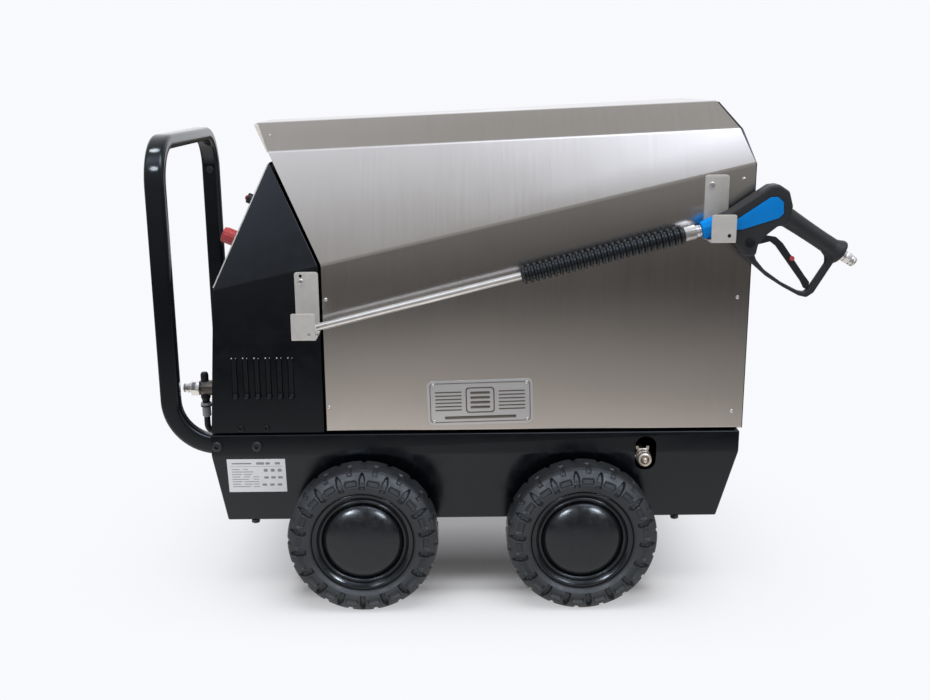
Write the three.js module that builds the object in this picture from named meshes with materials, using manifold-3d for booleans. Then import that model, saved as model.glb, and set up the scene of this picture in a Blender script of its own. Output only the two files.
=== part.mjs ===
// Commercial pressure washer on four wheels, in millimetres.
// +X runs along the machine from the push handle to the gun, +Y is the far side, +Z is up.
// The machine is drawn around the point midway between its axles, on the floor, and the whole
// is then shifted along X so that the origin lies under the middle of its overall length.

import * as THREE from 'three';
import { ConvexGeometry } from 'three/addons/geometries/ConvexGeometry.js';
import { mergeVertices } from 'three/addons/utils/BufferGeometryUtils.js';
import Module from 'manifold-3d';

const wasm = await Module();
wasm.setup();

// ---------------------------------------------------------------- driving dimensions

const GAP = 0.3; // clearance left between neighbouring pieces

// wheels
const WHEEL_R = 130;
const WHEEL_BASE = 378;
const WHEEL_MID_Y = 271;
const TYRE_W = 76;
const BEAD_R = 88;
const CAP_R = 66.5;
const AXLE_R = 10;
const WHEEL_FACETS = 24;

// body
const BODY_HALF_W = 226.2;
const SHEET = 1.5;
const HOOD_BOTTOM_Z = 305.5;
const HOOD_LEFT_X = -251.5;
const HOOD_RIGHT_X = 472;
const CREASE_Z = 655.9; // height of the side crease at x = 0
const CREASE_SLOPE = 0.2268;
const FACET_SLOPE = 2.1; // rise per mm inward of the facet above the crease
const TOP_Z = 938.1; // height the top facet's plane would reach at x = 0, y = 0
const TOP_SLOPE_X = 0.122;
const TOP_SLOPE_Y = 0.884;
const RIDGE_Z = 845; // flat strip along the top, height at x = 0
const RIDGE_SLOPE = 0.0428;
const HOOD_LEAN = 0.527; // outward lean of the hood's left edge above the crease

// chassis tray
const CHASSIS_HALF_W = BODY_HALF_W + 3;
const CHASSIS_TOP_Z = 301.4;
const CHASSIS_BEND_Z = 263.4;
const CHASSIS_BOTTOM_Z = 136;
const CHASSIS_TOP_X = [-455, 469];
const CHASSIS_FOOT_X = [-436.6, 439];
const CHASSIS_FOOT_HALF_W = 210;
const CHASSIS_SHEET = 3;
const FLOOR_Z = 141;

// console
const CONSOLE_GAP = 5; // dark joint between the console and the hood
const CONSOLE_SHEET = 2;
const CONSOLE_FOOT_X = -453;
const CONSOLE_KNEE = [-435.2, 557.3];
const CONSOLE_APEX = [-344.5, 763.9];
const CONSOLE_APEX_HALF_W = 137.5;

// handle
const HANDLE_X = -522.3;
const HANDLE_TUBE = [33.4, 25]; // flat-oval section, along the machine and across it
const HANDLE_ROOT_Z = 281.3;
const HANDLE_ROOT_X = -352;
const HANDLE_TOP_Z = 805;
const HANDLE_HALF_W = BODY_HALF_W - 0.3 - HANDLE_TUBE[1] / 2;
const HANDLE_FOOT_BEND = 80;
const HANDLE_TOP_BEND = 70;
const HANDLE_SCREW_X = [-444, -374.4];

// lance and gun
const LANCE_Y = -255;
const LANCE_ANGLE = THREE.MathUtils.degToRad(13.94);
const LANCE_Z = 562.7; // height of the lance's axis at x = 0
const HOOK_W = 40;
const HOOK_H = 105;
const HOOK_DEPTH = 63;
const HOOK_LIP_H = 46;
const HOOK_SHEET = 3;
const HOOKS = { front: [-276.7, 483], rear: [408.7, 640] }; // middle x and ledge height
const GUN_HALF_W = 17;

const CENTRE_X = 50.65; // middle of the overall length, seen from the wheels' middle

// ---------------------------------------------------------------- solid helpers

function solid(geometry) {
  const bare = geometry.index ? geometry.toNonIndexed() : geometry.clone();
  bare.deleteAttribute('normal');
  bare.deleteAttribute('uv');
  const merged = mergeVertices(bare, 1e-4);
  return new wasm.Manifold(new wasm.Mesh({
    numProp: 3,
    vertProperties: new Float32Array(merged.attributes.position.array),
    triVerts: new Uint32Array(merged.index.array),
  }));
}

function geometryOf(body) {
  const mesh = body.getMesh();
  const geometry = new THREE.BufferGeometry();
  geometry.setAttribute('position', new THREE.BufferAttribute(mesh.vertProperties, mesh.numProp));
  geometry.setIndex(new THREE.BufferAttribute(mesh.triVerts, 1));
  geometry.computeVertexNormals();
  return geometry;
}

function join(...bodies) {
  return bodies.reduce((whole, body) => whole.add(body));
}

function cut(whole, ...tools) {
  return tools.reduce((rest, tool) => rest.subtract(tool), whole);
}

// axis-aligned block between two corners
function block([x0, y0, z0], [x1, y1, z1]) {
  const geometry = new THREE.BoxGeometry(x1 - x0, y1 - y0, z1 - z0);
  geometry.translate((x0 + x1) / 2, (y0 + y1) / 2, (z0 + z1) / 2);
  return solid(geometry);
}

// straight round, conical or hexagonal bar between two points
function bar(from, to, radius, sides = 24, endRadius = radius) {
  const start = new THREE.Vector3(...from);
  const run = new THREE.Vector3(...to).sub(start);
  const geometry = new THREE.CylinderGeometry(endRadius, radius, run.length(), sides);
  geometry.translate(0, run.length() / 2, 0);
  const up = new THREE.Vector3(0, 1, 0);
  geometry.applyQuaternion(new THREE.Quaternion().setFromUnitVectors(up, run.normalize()));
  geometry.translate(...start);
  return solid(geometry);
}

// outline in the X-Z plane, given thickness from y0 to y1
function slab(outline, y0, y1, curveSegments = 6) {
  const isShape = outline instanceof THREE.Shape;
  const shape = isShape ? outline : new THREE.Shape(outline.map(([x, z]) => new THREE.Vector2(x, z)));
  const geometry = new THREE.ExtrudeGeometry(shape, { depth: y1 - y0, bevelEnabled: false, curveSegments });
  geometry.rotateX(Math.PI / 2);
  geometry.translate(0, y1, 0);
  return solid(geometry);
}

// ring or disc turned about a line along Y through (x, z); the profile holds [radius, y] pairs
function turned(profile, [x, y, z], side) {
  const points = profile.map(([r, offset]) => new THREE.Vector2(r, offset * side));
  const geometry = new THREE.LatheGeometry(side > 0 ? points : points.reverse(), WHEEL_FACETS);
  geometry.translate(x, y, z);
  return solid(geometry);
}

function hull(points) {
  return solid(new ConvexGeometry(points.map((p) => new THREE.Vector3(...p))));
}

function mirrored(points) {
  return [...points, ...points.map(([x, y, z]) => [x, -y, z])];
}

// rectangle with rounded corners, centred on (x, z)
function roundedShape(x, z, width, height, radius) {
  const shape = new THREE.Shape();
  const [w, h] = [width / 2 - radius, height / 2 - radius];
  shape.absarc(x + w, z + h, radius, 0, Math.PI / 2);
  shape.absarc(x - w, z + h, radius, Math.PI / 2, Math.PI);
  shape.absarc(x - w, z - h, radius, Math.PI, 1.5 * Math.PI);
  shape.absarc(x + w, z - h, radius, 1.5 * Math.PI, 2 * Math.PI);
  shape.closePath();
  return shape;
}

// path through listed stations, one tube ring at each
class StationPath extends THREE.Curve {
  constructor(stations) {
    super();
    this.stations = stations;
  }

  getPoint(t) {
    const last = this.stations.length - 1;
    const place = Math.min(Math.max(t, 0), 1) * last;
    const index = Math.min(Math.floor(place), last - 1);
    return this.stations[index].clone().lerp(this.stations[index + 1], place - index);
  }

  getPointAt(t) {
    return this.getPoint(t);
  }

  getTangentAt(t) {
    const step = 0.5 / (this.stations.length - 1);
    return this.getPoint(t + step).sub(this.getPoint(t - step)).normalize();
  }
}

// corner points of a run of straight tube, with every inner corner bent to a radius
function bentStations(corners, radii, stepsPerBend = 5) {
  const points = corners.map((p) => new THREE.Vector3(...p));
  const stations = [points[0]];
  for (let i = 1; i < points.length - 1; i += 1) {
    const inward = points[i - 1].clone().sub(points[i]).normalize();
    const outward = points[i + 1].clone().sub(points[i]).normalize();
    const half = inward.angleTo(outward) / 2;
    const reach = radii[i - 1] / Math.tan(half);
    const centre = inward.clone().add(outward).normalize()
      .multiplyScalar(radii[i - 1] / Math.sin(half)).add(points[i]);
    const start = points[i].clone().addScaledVector(inward, reach).sub(centre);
    const end = points[i].clone().addScaledVector(outward, reach).sub(centre);
    const sweep = start.angleTo(end);
    const axis = start.clone().cross(end).normalize();
    for (let s = 0; s <= stepsPerBend; s += 1) {
      stations.push(start.clone().applyAxisAngle(axis, (sweep * s) / stepsPerBend).add(centre));
    }
  }
  stations.push(points[points.length - 1]);
  return stations;
}

function tube(stations, section) {
  return solid(new THREE.ExtrudeGeometry(section, {
    steps: stations.length - 1,
    extrudePath: new StationPath(stations),
    curveSegments: 1,
    bevelEnabled: false,
  }));
}

function circleSection(radius, sides = 12) {
  const corners = Array.from({ length: sides }, (_, i) => (2 * Math.PI * i) / sides);
  return new THREE.Shape(corners.map((a) => new THREE.Vector2(radius * Math.cos(a), radius * Math.sin(a))));
}

// ---------------------------------------------------------------- materials and nodes

const machine = new THREE.Group();
machine.position.x = -CENTRE_X;

const finishes = {
  blackPaint: { color: 0x19191c, roughness: 0.45, metalness: 0.3 },
  blackPlastic: { color: 0x222326, roughness: 0.55, metalness: 0 },
  tyreRubber: { color: 0x2b2c30, roughness: 0.8, metalness: 0 },
  stainless: { color: 0x9a938a, roughness: 0.35, metalness: 1 },
  brightSteel: { color: 0xc9c7c3, roughness: 0.22, metalness: 1 },
  aluminium: { color: 0xb9b9ba, roughness: 0.4, metalness: 1 },
  blue: { color: 0x0a6fc0, roughness: 0.45, metalness: 0 },
  red: { color: 0xb23336, roughness: 0.4, metalness: 0 },
  white: { color: 0xe4e5e8, roughness: 0.5, metalness: 0 },
  brass: { color: 0xb59a55, roughness: 0.35, metalness: 1 },
  greyPlastic: { color: 0x9b9da1, roughness: 0.5, metalness: 0 },
  castGrey: { color: 0x5f6468, roughness: 0.6, metalness: 0.6 },
  tankPlastic: { color: 0xd8d6cc, roughness: 0.6, metalness: 0 },
};

function add(name, body, finish, parent = machine) {
  const mesh = new THREE.Mesh(geometryOf(body), new THREE.MeshStandardMaterial(finishes[finish]));
  mesh.name = name;
  parent.add(mesh);
}

// ---------------------------------------------------------------- chassis tray

function chassisSolid(inset, bottomZ, topZ) {
  const [left, right] = CHASSIS_TOP_X;
  const [footLeft, footRight] = CHASSIS_FOOT_X;
  const footY = CHASSIS_FOOT_HALF_W - inset;
  const bandY = CHASSIS_HALF_W - inset;
  const foot = [[footLeft + inset, footY], [footRight - inset, footY]];
  const band = [[left + inset, bandY], [right - inset, bandY]];
  return hull(mirrored([
    ...foot.map(([x, y]) => [x, y, bottomZ]),
    ...band.map(([x, y]) => [x, y, CHASSIS_BEND_Z]),
    ...band.map(([x, y]) => [x, y, topZ]),
  ]));
}

function slotCutter(x, z, width, height, y0, y1) {
  return slab(roundedShape(x, z, width, height, width / 2 - 1), y0, y1, 1);
}

const INLET = { x: 301, y: -222, z: 256 };
const INLET_SLOT = { x: 306, z: 262, width: 40, height: 62 };

function buildChassis() {
  const rim = 26;
  const lip = CHASSIS_SHEET;
  const [left, right] = CHASSIS_TOP_X;
  const cavity = cut(
    chassisSolid(CHASSIS_SHEET, CHASSIS_BOTTOM_Z, CHASSIS_TOP_Z - lip),
    block([-600, -300, FLOOR_Z], [600, 300, FLOOR_Z + CHASSIS_SHEET]),
  );
  const mouth = block(
    [left + rim, -CHASSIS_HALF_W + rim, CHASSIS_TOP_Z - 20],
    [right - rim, CHASSIS_HALF_W - rim, CHASSIS_TOP_Z + 20],
  );
  const recessHalfW = CHASSIS_HALF_W - rim - 5;
  const recess = cut(
    block([-600, -recessHalfW, 100], [600, recessHalfW, FLOOR_Z]),
    block([-700, -300, 0], [CHASSIS_FOOT_X[0] + 6, 300, FLOOR_Z]),
    block([CHASSIS_FOOT_X[1] - 6, -300, 0], [700, 300, FLOOR_Z]),
  );
  const notches = [-1, 1].map((end) => {
    const x = (end * WHEEL_BASE) / 2;
    return bar([x, -300, WHEEL_R], [x, 300, WHEEL_R], AXLE_R + 1.2, 16);
  });
  const { x: slotX, z: slotZ, width, height } = INLET_SLOT;
  const slot = slotCutter(slotX, slotZ, width, height, -CHASSIS_HALF_W - 10, -CHASSIS_HALF_W + 30);
  const screwHoles = handleScrewPlaces().map(({ x, side }) => bar(
    [x, side * (CHASSIS_HALF_W + 5), HANDLE_ROOT_Z], [x, side * (CHASSIS_HALF_W - 8), HANDLE_ROOT_Z], 5.5, 12,
  ));
  const handleDoors = [-1, 1].map((side) => block(
    [left - 10, side * HANDLE_HALF_W - HANDLE_TUBE[1] / 2 - 0.4, HANDLE_ROOT_Z - HANDLE_TUBE[0] / 2 - 0.8],
    [left + 60, side * HANDLE_HALF_W + HANDLE_TUBE[1] / 2 + 0.4, HANDLE_ROOT_Z + HANDLE_TUBE[0] / 2 + 2.4],
  ));
  const [holeY, holeZ] = [OUTLET.y, CABLE_ENTRY_Z];
  const cableHole = bar([left - 5, holeY, holeZ], [left + 10, holeY, holeZ], CABLE_R + 1, 12);
  const shell = cut(chassisSolid(0, CHASSIS_BOTTOM_Z, CHASSIS_TOP_Z), cavity, mouth, recess, slot);
  add('chassis_tray', cut(shell, ...notches, ...screwHoles, ...handleDoors, cableHole), 'blackPaint');
}

// ---------------------------------------------------------------- wheels and axles

function handleScrewPlaces() {
  return [-1, 1].flatMap((side) => HANDLE_SCREW_X.map((x) => ({ x, side })));
}

function buildAxle(x) {
  const end = WHEEL_MID_Y + 24;
  const rod = bar([x, -end, WHEEL_R], [x, end, WHEEL_R], AXLE_R);
  const pads = [-1, 1].map((side) => block(
    [x - 30, side * 130 - 25, WHEEL_R], [x + 30, side * 130 + 25, FLOOR_Z - GAP],
  ));
  return join(rod, ...pads);
}

const halfTyre = TYRE_W / 2;
const tyreProfile = [
  [BEAD_R + GAP, -halfTyre + 9],
  [BEAD_R + 7, -halfTyre + 3],
  [WHEEL_R - 22, -halfTyre],
  [WHEEL_R - 8, -halfTyre + 3],
  [WHEEL_R - 1.5, -halfTyre + 12],
  [WHEEL_R, 0],
  [WHEEL_R - 1.5, halfTyre - 12],
  [WHEEL_R - 8, halfTyre - 3],
  [WHEEL_R - 22, halfTyre],
  [BEAD_R + 7, halfTyre - 3],
  [BEAD_R + GAP, halfTyre - 9],
  [BEAD_R + GAP, -halfTyre + 9],
];

const RIM_FACE = halfTyre - 9; // outboard face of the rim, from the tyre's middle
const DISH = 19; // depth at which the domed cap seats, from the tyre's middle
const HUB_BORE = AXLE_R + 0.6;

const rimProfile = [
  [HUB_BORE, -36],
  [24, -36],
  [26, -8],
  [BEAD_R - 8, -6],
  [BEAD_R - 8, -RIM_FACE],
  [BEAD_R, -RIM_FACE],
  [BEAD_R, RIM_FACE],
  [BEAD_R - 6, RIM_FACE],
  [CAP_R + 9, DISH],
  [CAP_R - 8, DISH],
  [CAP_R - 12, 0],
  [24, 0],
  [HUB_BORE, DISH - 3],
  [HUB_BORE, -36],
];

function capProfile() {
  const rise = 20;
  const wall = 3;
  const seat = DISH + GAP;
  const steps = 4;
  const angles = Array.from({ length: steps + 1 }, (_, i) => (i / steps) * (Math.PI / 2));
  const outer = angles.map((a) => [CAP_R * Math.cos(a), seat + 2 + (rise - 2) * Math.sin(a)]);
  const inner = angles.map((a) => [(CAP_R - wall) * Math.cos(a), seat + (rise - wall) * Math.sin(a)]);
  outer[steps][0] = 0;
  inner[steps][0] = 0;
  return [...inner.reverse(), [CAP_R, seat], ...outer];
}

function buildWheels() {
  const ends = { front: -1, rear: 1 };
  const sides = { near: -1, far: 1 };
  for (const [endName, end] of Object.entries(ends)) {
    const x = (end * WHEEL_BASE) / 2;
    add(`axle_${endName}`, buildAxle(x), 'brightSteel');
    for (const [sideName, side] of Object.entries(sides)) {
      const place = [x, side * WHEEL_MID_Y, WHEEL_R];
      add(`tyre_${endName}_${sideName}`, turned(tyreProfile, place, side), 'tyreRubber');
      add(`rim_${endName}_${sideName}`, turned(rimProfile, place, side), 'blackPlastic');
      add(`hub_cap_${endName}_${sideName}`, turned(capProfile(), place, side), 'blackPlastic');
    }
  }
}

// ---------------------------------------------------------------- push handle

function handleSection() {
  const [long, short] = HANDLE_TUBE;
  const shape = new THREE.Shape();
  const round = short / 2 - 2;
  const reachX = long / 2 - round;
  const reachY = short / 2 - round;
  shape.absarc(reachX, reachY, round, 0, Math.PI / 2);
  shape.absarc(-reachX, reachY, round, Math.PI / 2, Math.PI);
  shape.absarc(-reachX, -reachY, round, Math.PI, 1.5 * Math.PI);
  shape.absarc(reachX, -reachY, round, 1.5 * Math.PI, 2 * Math.PI);
  shape.closePath();
  return shape;
}

function buildHandle() {
  const legs = [-1, 1].map((side) => [
    [HANDLE_ROOT_X, side * HANDLE_HALF_W, HANDLE_ROOT_Z],
    [HANDLE_X, side * HANDLE_HALF_W, HANDLE_ROOT_Z],
    [HANDLE_X, side * HANDLE_HALF_W, HANDLE_TOP_Z],
  ]);
  const corners = [...legs[0], ...legs[1].reverse()];
  const bends = [HANDLE_FOOT_BEND, HANDLE_TOP_BEND, HANDLE_TOP_BEND, HANDLE_FOOT_BEND];
  const body = tube(bentStations(corners, bends), handleSection());
  const bores = handleScrewPlaces().map(({ x, side }) => bar(
    [x, side * (CHASSIS_HALF_W + 5), HANDLE_ROOT_Z], [x, side * (HANDLE_HALF_W - 2), HANDLE_ROOT_Z], 5.5, 12,
  ));
  add('push_handle', cut(body, ...bores), 'blackPaint');
  handleScrewPlaces().forEach(({ x, side }) => {
    const face = side * (CHASSIS_HALF_W + GAP);
    const head = bar([x, face, HANDLE_ROOT_Z], [x, face + side * 5, HANDLE_ROOT_Z], 9, 16, 6.5);
    const shank = bar([x, face, HANDLE_ROOT_Z], [x, side * (HANDLE_HALF_W + 1), HANDLE_ROOT_Z], 5, 12);
    const key = bar([x, face + side * 2, HANDLE_ROOT_Z], [x, face + side * 6, HANDLE_ROOT_Z], 3.4, 6);
    const label = `${side < 0 ? 'near' : 'far'}_${x === HANDLE_SCREW_X[0] ? 'outer' : 'inner'}`;
    add(`handle_screw_${label}`, cut(join(head, shank), key), 'blackPaint');
  });
}

// ---------------------------------------------------------------- hood and rear panel

// Corners of the hood's cross-section at a given x, near side, with the sheet set in by inset.
const hoodEdge = {
  foot: (x, inset) => [x, BODY_HALF_W - inset, HOOD_BOTTOM_Z],
  crease: (x, inset) => {
    const y = BODY_HALF_W - inset;
    return [x, y, facetHeight(x, y, inset)];
  },
  shoulder: (x, inset) => {
    const y = (facetHeight(x, 0, inset) - topHeight(x, 0, inset)) / (FACET_SLOPE - TOP_SLOPE_Y);
    return [x, y, facetHeight(x, y, inset)];
  },
  ridge: (x, inset) => {
    const z = RIDGE_Z + RIDGE_SLOPE * x - inset;
    return [x, (topHeight(x, 0, inset) - z) / TOP_SLOPE_Y, z];
  },
};

function facetHeight(x, y, inset) {
  const tilt = Math.hypot(1, FACET_SLOPE, CREASE_SLOPE);
  return CREASE_Z + CREASE_SLOPE * x + FACET_SLOPE * (BODY_HALF_W - y) - inset * tilt;
}

function topHeight(x, y, inset) {
  return TOP_Z + TOP_SLOPE_X * x - TOP_SLOPE_Y * y - inset * Math.hypot(1, TOP_SLOPE_Y, TOP_SLOPE_X);
}

const HOOD_LEFT = { foot: HOOD_LEFT_X, crease: HOOD_LEFT_X, shoulder: -347.7, ridge: -372.6 };
const HOOD_RIGHT = { foot: HOOD_RIGHT_X, crease: HOOD_RIGHT_X, shoulder: 449.8, ridge: 420.2 };

// Closed prism with the hood's cross-section, between two ends that may lean.
function hoodPrism(left, right, inset, drop = 0) {
  const names = Object.keys(hoodEdge);
  const ring = (ends) => {
    const near = names.map((name) => hoodEdge[name](ends[name], inset).map((v, i) => (i === 1 ? -v : v)));
    const lowered = near.map(([x, y, z], i) => [x, y, i === 0 ? z - drop : z]);
    return [...lowered, ...lowered.map(([x, y, z]) => [x, -y, z]).reverse()];
  };
  const corners = [...ring(left), ...ring(right)];
  const size = corners.length / 2;
  const faces = [];
  for (let i = 0; i < size; i += 1) {
    const next = (i + 1) % size;
    faces.push([i, next + size, next], [i, i + size, next + size]);
  }
  const lower = [0, 1, size - 2, size - 1];
  const upper = [1, 2, 3, 4, 5, 6];
  for (const cap of [lower, upper]) {
    for (let i = 1; i < cap.length - 1; i += 1) {
      faces.push([cap[0], cap[i], cap[i + 1]]);
      faces.push([cap[0] + size, cap[i + 1] + size, cap[i] + size]);
    }
  }
  const geometry = new THREE.BufferGeometry();
  geometry.setAttribute('position', new THREE.Float32BufferAttribute(corners.flat(), 3));
  geometry.setIndex(faces.flat());
  return solid(geometry);
}

function shifted(ends, low, high) {
  return {
    foot: ends.foot + low,
    crease: ends.crease + low,
    shoulder: ends.shoulder + high,
    ridge: ends.ridge + high,
  };
}

function buildHood() {
  const outside = hoodPrism(HOOD_LEFT, HOOD_RIGHT, 0);
  const inside = hoodPrism(shifted(HOOD_LEFT, -40, -40), shifted(HOOD_RIGHT, 40, 40), SHEET, 20);
  add('hood', cut(outside, inside), 'stainless');
  const lid = hoodPrism(shifted(HOOD_RIGHT, -4, -1), shifted(HOOD_RIGHT, -1, 2.5), SHEET + 0.6);
  add('rear_panel', lid, 'blackPaint');
}

// ---------------------------------------------------------------- console

function leftEdgeX(z) {
  return HOOD_LEFT_X - HOOD_LEAN * (z - (CREASE_Z + CREASE_SLOPE * HOOD_LEFT_X));
}

function consoleSolid(inset, drop) {
  const [kneeX, kneeZ] = CONSOLE_KNEE;
  const [apexX, apexZ] = CONSOLE_APEX;
  const backX = HOOD_LEFT_X - CONSOLE_GAP - inset;
  const halfW = BODY_HALF_W - inset;
  const bottom = CHASSIS_TOP_Z + 3.5 - drop;
  return hull(mirrored([
    [CONSOLE_FOOT_X + inset, halfW, bottom],
    [backX, halfW, bottom],
    [backX, halfW, facetHeight(backX, BODY_HALF_W, 0) - inset * 0.3],
    [kneeX + inset, halfW, kneeZ - inset * 0.3],
    [apexX, CONSOLE_APEX_HALF_W - inset * 0.6, apexZ - inset * 2.4],
  ]));
}

function louvrePlaces() {
  const pitch = 19.35;
  return Array.from({ length: 6 }, (_, i) => -407 + pitch * i);
}

function buildConsole() {
  const louvres = louvrePlaces().map((x) => slotCutter(x, 405, 8, 62, -BODY_HALF_W - 10, BODY_HALF_W + 10));
  const mouthTop = 824;
  const mouthPlate = hull(mirrored([
    [-338, 128, 748],
    [-328, 128, 748],
    [leftEdgeX(mouthTop) + 6, 56, mouthTop],
    [leftEdgeX(mouthTop) + 9, 56, mouthTop],
  ]));
  const shell = cut(consoleSolid(0, 0), consoleSolid(CONSOLE_SHEET, 20), ...louvres);
  add('console_housing', cut(join(shell, mouthPlate), fittingHole()), 'blackPaint');

  const [kneeX, kneeZ] = CONSOLE_KNEE;
  const [apexX, apexZ] = CONSOLE_APEX;
  const skin = [GAP, GAP + 2].flatMap((lift) => [
    [kneeX + 1.6 + panelOut[0] * lift, BODY_HALF_W - 3, kneeZ + 3.6 + panelOut[1] * lift],
    [apexX - 1.6 + panelOut[0] * lift, CONSOLE_APEX_HALF_W, apexZ - 3.6 + panelOut[1] * lift],
  ]);
  add('control_panel', hull(mirrored(skin)), 'aluminium');

  addOnPanel('main_switch_knob', 0.365, -150, [[GAP, 14], [20, 14], [26, 12]], 'red');
  addOnPanel('lamp_shroud', 0.695, -150, [[GAP, 9], [9, 9]], 'blackPlastic', 5.4);
  addOnPanel('pilot_lamp', 0.695, -150, [[GAP, 4.8], [10, 4.8], [13, 3.4]], 'red');
}

// direction that the slanted control panel faces, in X and Z
const panelRun = [CONSOLE_APEX[0] - CONSOLE_KNEE[0], CONSOLE_APEX[1] - CONSOLE_KNEE[1]];
const panelLength = Math.hypot(...panelRun);
const panelOut = [-panelRun[1] / panelLength, panelRun[0] / panelLength];

function panelPoint(share, y, lift) {
  return [
    CONSOLE_KNEE[0] + panelRun[0] * share + panelOut[0] * lift,
    y,
    CONSOLE_KNEE[1] + panelRun[1] * share + panelOut[1] * lift,
  ];
}

// stepped round piece standing on the control panel; steps hold [height, radius] pairs
function addOnPanel(name, share, y, steps, finish, bore = 0) {
  const skin = 2 + GAP;
  const parts = steps.slice(1).map(([height, radius], i) => bar(
    panelPoint(share, y, skin + steps[i][0]), panelPoint(share, y, skin + height), steps[i][1], 20, radius,
  ));
  const tool = bore ? [bar(panelPoint(share, y, 0), panelPoint(share, y, 60), bore, 20)] : [];
  add(name, cut(join(...parts), ...tool), finish);
}

// ---------------------------------------------------------------- outlet and cable at the console's front

const OUTLET = { y: -150, z: 366 };
const CABLE_ENTRY_Z = 283;
const CABLE_R = 5.5;

function frontFaceX(z) {
  const share = (z - CHASSIS_TOP_Z - 3.5) / (CONSOLE_KNEE[1] - CHASSIS_TOP_Z - 3.5);
  return CONSOLE_FOOT_X + (CONSOLE_KNEE[0] - CONSOLE_FOOT_X) * share;
}

function fittingHole() {
  return bar([-500, OUTLET.y, OUTLET.z], [-400, OUTLET.y, OUTLET.z], 10, 16);
}

function buildOutlet() {
  const { y, z } = OUTLET;
  const face = frontFaceX(z) - 2;
  const nutEnd = face - 34;
  const branchX = face - 26;
  const blockBody = join(
    bar([face, y, z], [nutEnd + GAP, y, z], 14, 8),
    bar([branchX, y, z + 10], [branchX, y, z + 29], 7, 12),
    bar([branchX, y, z - 10], [branchX, y, z - 27], 7.5, 12, 6.5),
    bar([face - 1, y, z], [face + 30, y, z], 9, 16),
  );
  add('outlet_block', blockBody, 'blackPlastic');
  const nut = cut(
    bar([nutEnd, y, z], [nutEnd - 16, y, z], 14.5, 6),
    bar([nutEnd + 1, y, z], [nutEnd - 20, y, z], 9.6, 16),
  );
  add('outlet_nut', nut, 'brightSteel');
  const nipple = cut(
    bar([nutEnd - GAP, y, z], [nutEnd - 30, y, z], 9, 16),
    bar([nutEnd - 8, y, z], [nutEnd - 32, y, z], 5, 12),
  );
  add('outlet_nipple', nipple, 'brightSteel');
  const glandTop = z - 27 - GAP;
  const gland = join(
    bar([branchX, y, glandTop], [branchX, y, glandTop - 7], 9.5, 16),
    bar([branchX, y, glandTop - 6], [branchX, y, glandTop - 26], 7.5, 16),
  );
  add('cable_gland', gland, 'greyPlastic');
  const run = bentStations([
    [branchX, y, glandTop - 26 - GAP],
    [branchX, y, CABLE_ENTRY_Z],
    [CHASSIS_TOP_X[0] + 15, y, CABLE_ENTRY_Z],
  ], [16], 4);
  add('supply_cable', tube(run, circleSection(CABLE_R)), 'blackPlastic');
}

// ---------------------------------------------------------------- water inlet

function buildInlet() {
  const { x, y, z } = INLET;
  const tankFace = -162;
  const body = cut(
    join(
      bar([x, tankFace - GAP, z], [x, y - 20, z], 9, 16),
      bar([x, y + 6, z], [x, y - 4, z], 15, 6),
      bar([x, y - 19, z], [x, y - 38, z], 11, 16),
    ),
    bar([x, y - 22, z], [x, y - 50, z], 7, 12),
  );
  add('water_inlet', body, 'brightSteel');
  const strainer = bar([x, y - 22 - GAP, z], [x, y - 33, z], 6, 12, 3);
  add('inlet_strainer', strainer, 'red');
}

// ---------------------------------------------------------------- plates

function buildPlates() {
  const nameplate = slab(roundedShape(0, 0, 183, 80, 9), -1.2, 0, 3);
  const tilted = nameplate.rotate([0, -1.3, 0]).translate([15.5, -BODY_HALF_W - GAP, 357.5]);
  add('nameplate', tilted, 'aluminium');

  const lean = (CHASSIS_HALF_W - CHASSIS_FOOT_HALF_W) / (CHASSIS_BEND_Z - CHASSIS_BOTTOM_Z);
  const sideY = (z) => -CHASSIS_HALF_W + lean * (CHASSIS_BEND_Z - z);
  const corners = [[-429, 193], [-327, 193], [-429, 257.5], [-327, 257.5]];
  const skin = corners.flatMap(([x, z]) => [GAP, GAP + 0.8].map((lift) => [x, sideY(z) - lift, z]));
  add('rating_plate', hull(skin), 'white');
}

// ---------------------------------------------------------------- hooks that carry the lance

function buildHooks() {
  for (const [name, [x, z]] of Object.entries(HOOKS)) {
    const back = -BODY_HALF_W - GAP;
    const lip = back - HOOK_DEPTH;
    const profile = [
      [[back - HOOK_SHEET, z], [back, z + HOOK_H]],
      [[lip, z], [back, z + HOOK_SHEET]],
      [[lip, z], [lip + HOOK_SHEET, z + HOOK_LIP_H]],
    ];
    const [x0, x1] = [x - HOOK_W / 2, x + HOOK_W / 2];
    const strips = profile.map(([[y0, z0], [y1, z1]]) => block([x0, y0, z0], [x1, y1, z1]));
    const lipHole = bar([x + 9, lip - 5, z + 12], [x + 9, lip + 8, z + 12], 3.2, 12);
    const screwX = x - HOOK_W / 2 + 11;
    const screwZ = z + HOOK_H - 16;
    const bore = bar([screwX, back - 10, screwZ], [screwX, back + 5, screwZ], 3, 12);
    add(`lance_hook_${name}`, cut(join(...strips), lipHole, bore), 'aluminium');
    const seat = back - HOOK_SHEET;
    const head = bar([screwX, seat - GAP, screwZ], [screwX, seat - 3, screwZ], 5, 12, 3.5);
    const shank = bar([screwX, seat - GAP, screwZ], [screwX, back - 0.2, screwZ], 2.5, 8);
    add(`hook_screw_${name}`, join(head, shank), 'brightSteel');
  }
}

// ---------------------------------------------------------------- lance
// Drawn in its own frame: u along the lance towards the gun, v square to it and upwards.

const lance = new THREE.Group();
lance.position.set(0, LANCE_Y, LANCE_Z);
lance.rotation.y = -LANCE_ANGLE;
machine.add(lance);

// places along the lance
const LANCE = {
  tip: -284, tubeStart: -266, gripStart: 86, gripEnd: 362, nutEnd: 390.5, gunStart: 391, bodyStart: 414,
};
const TUBE_R = 6.5;
const GRIP_R = 17;

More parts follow.
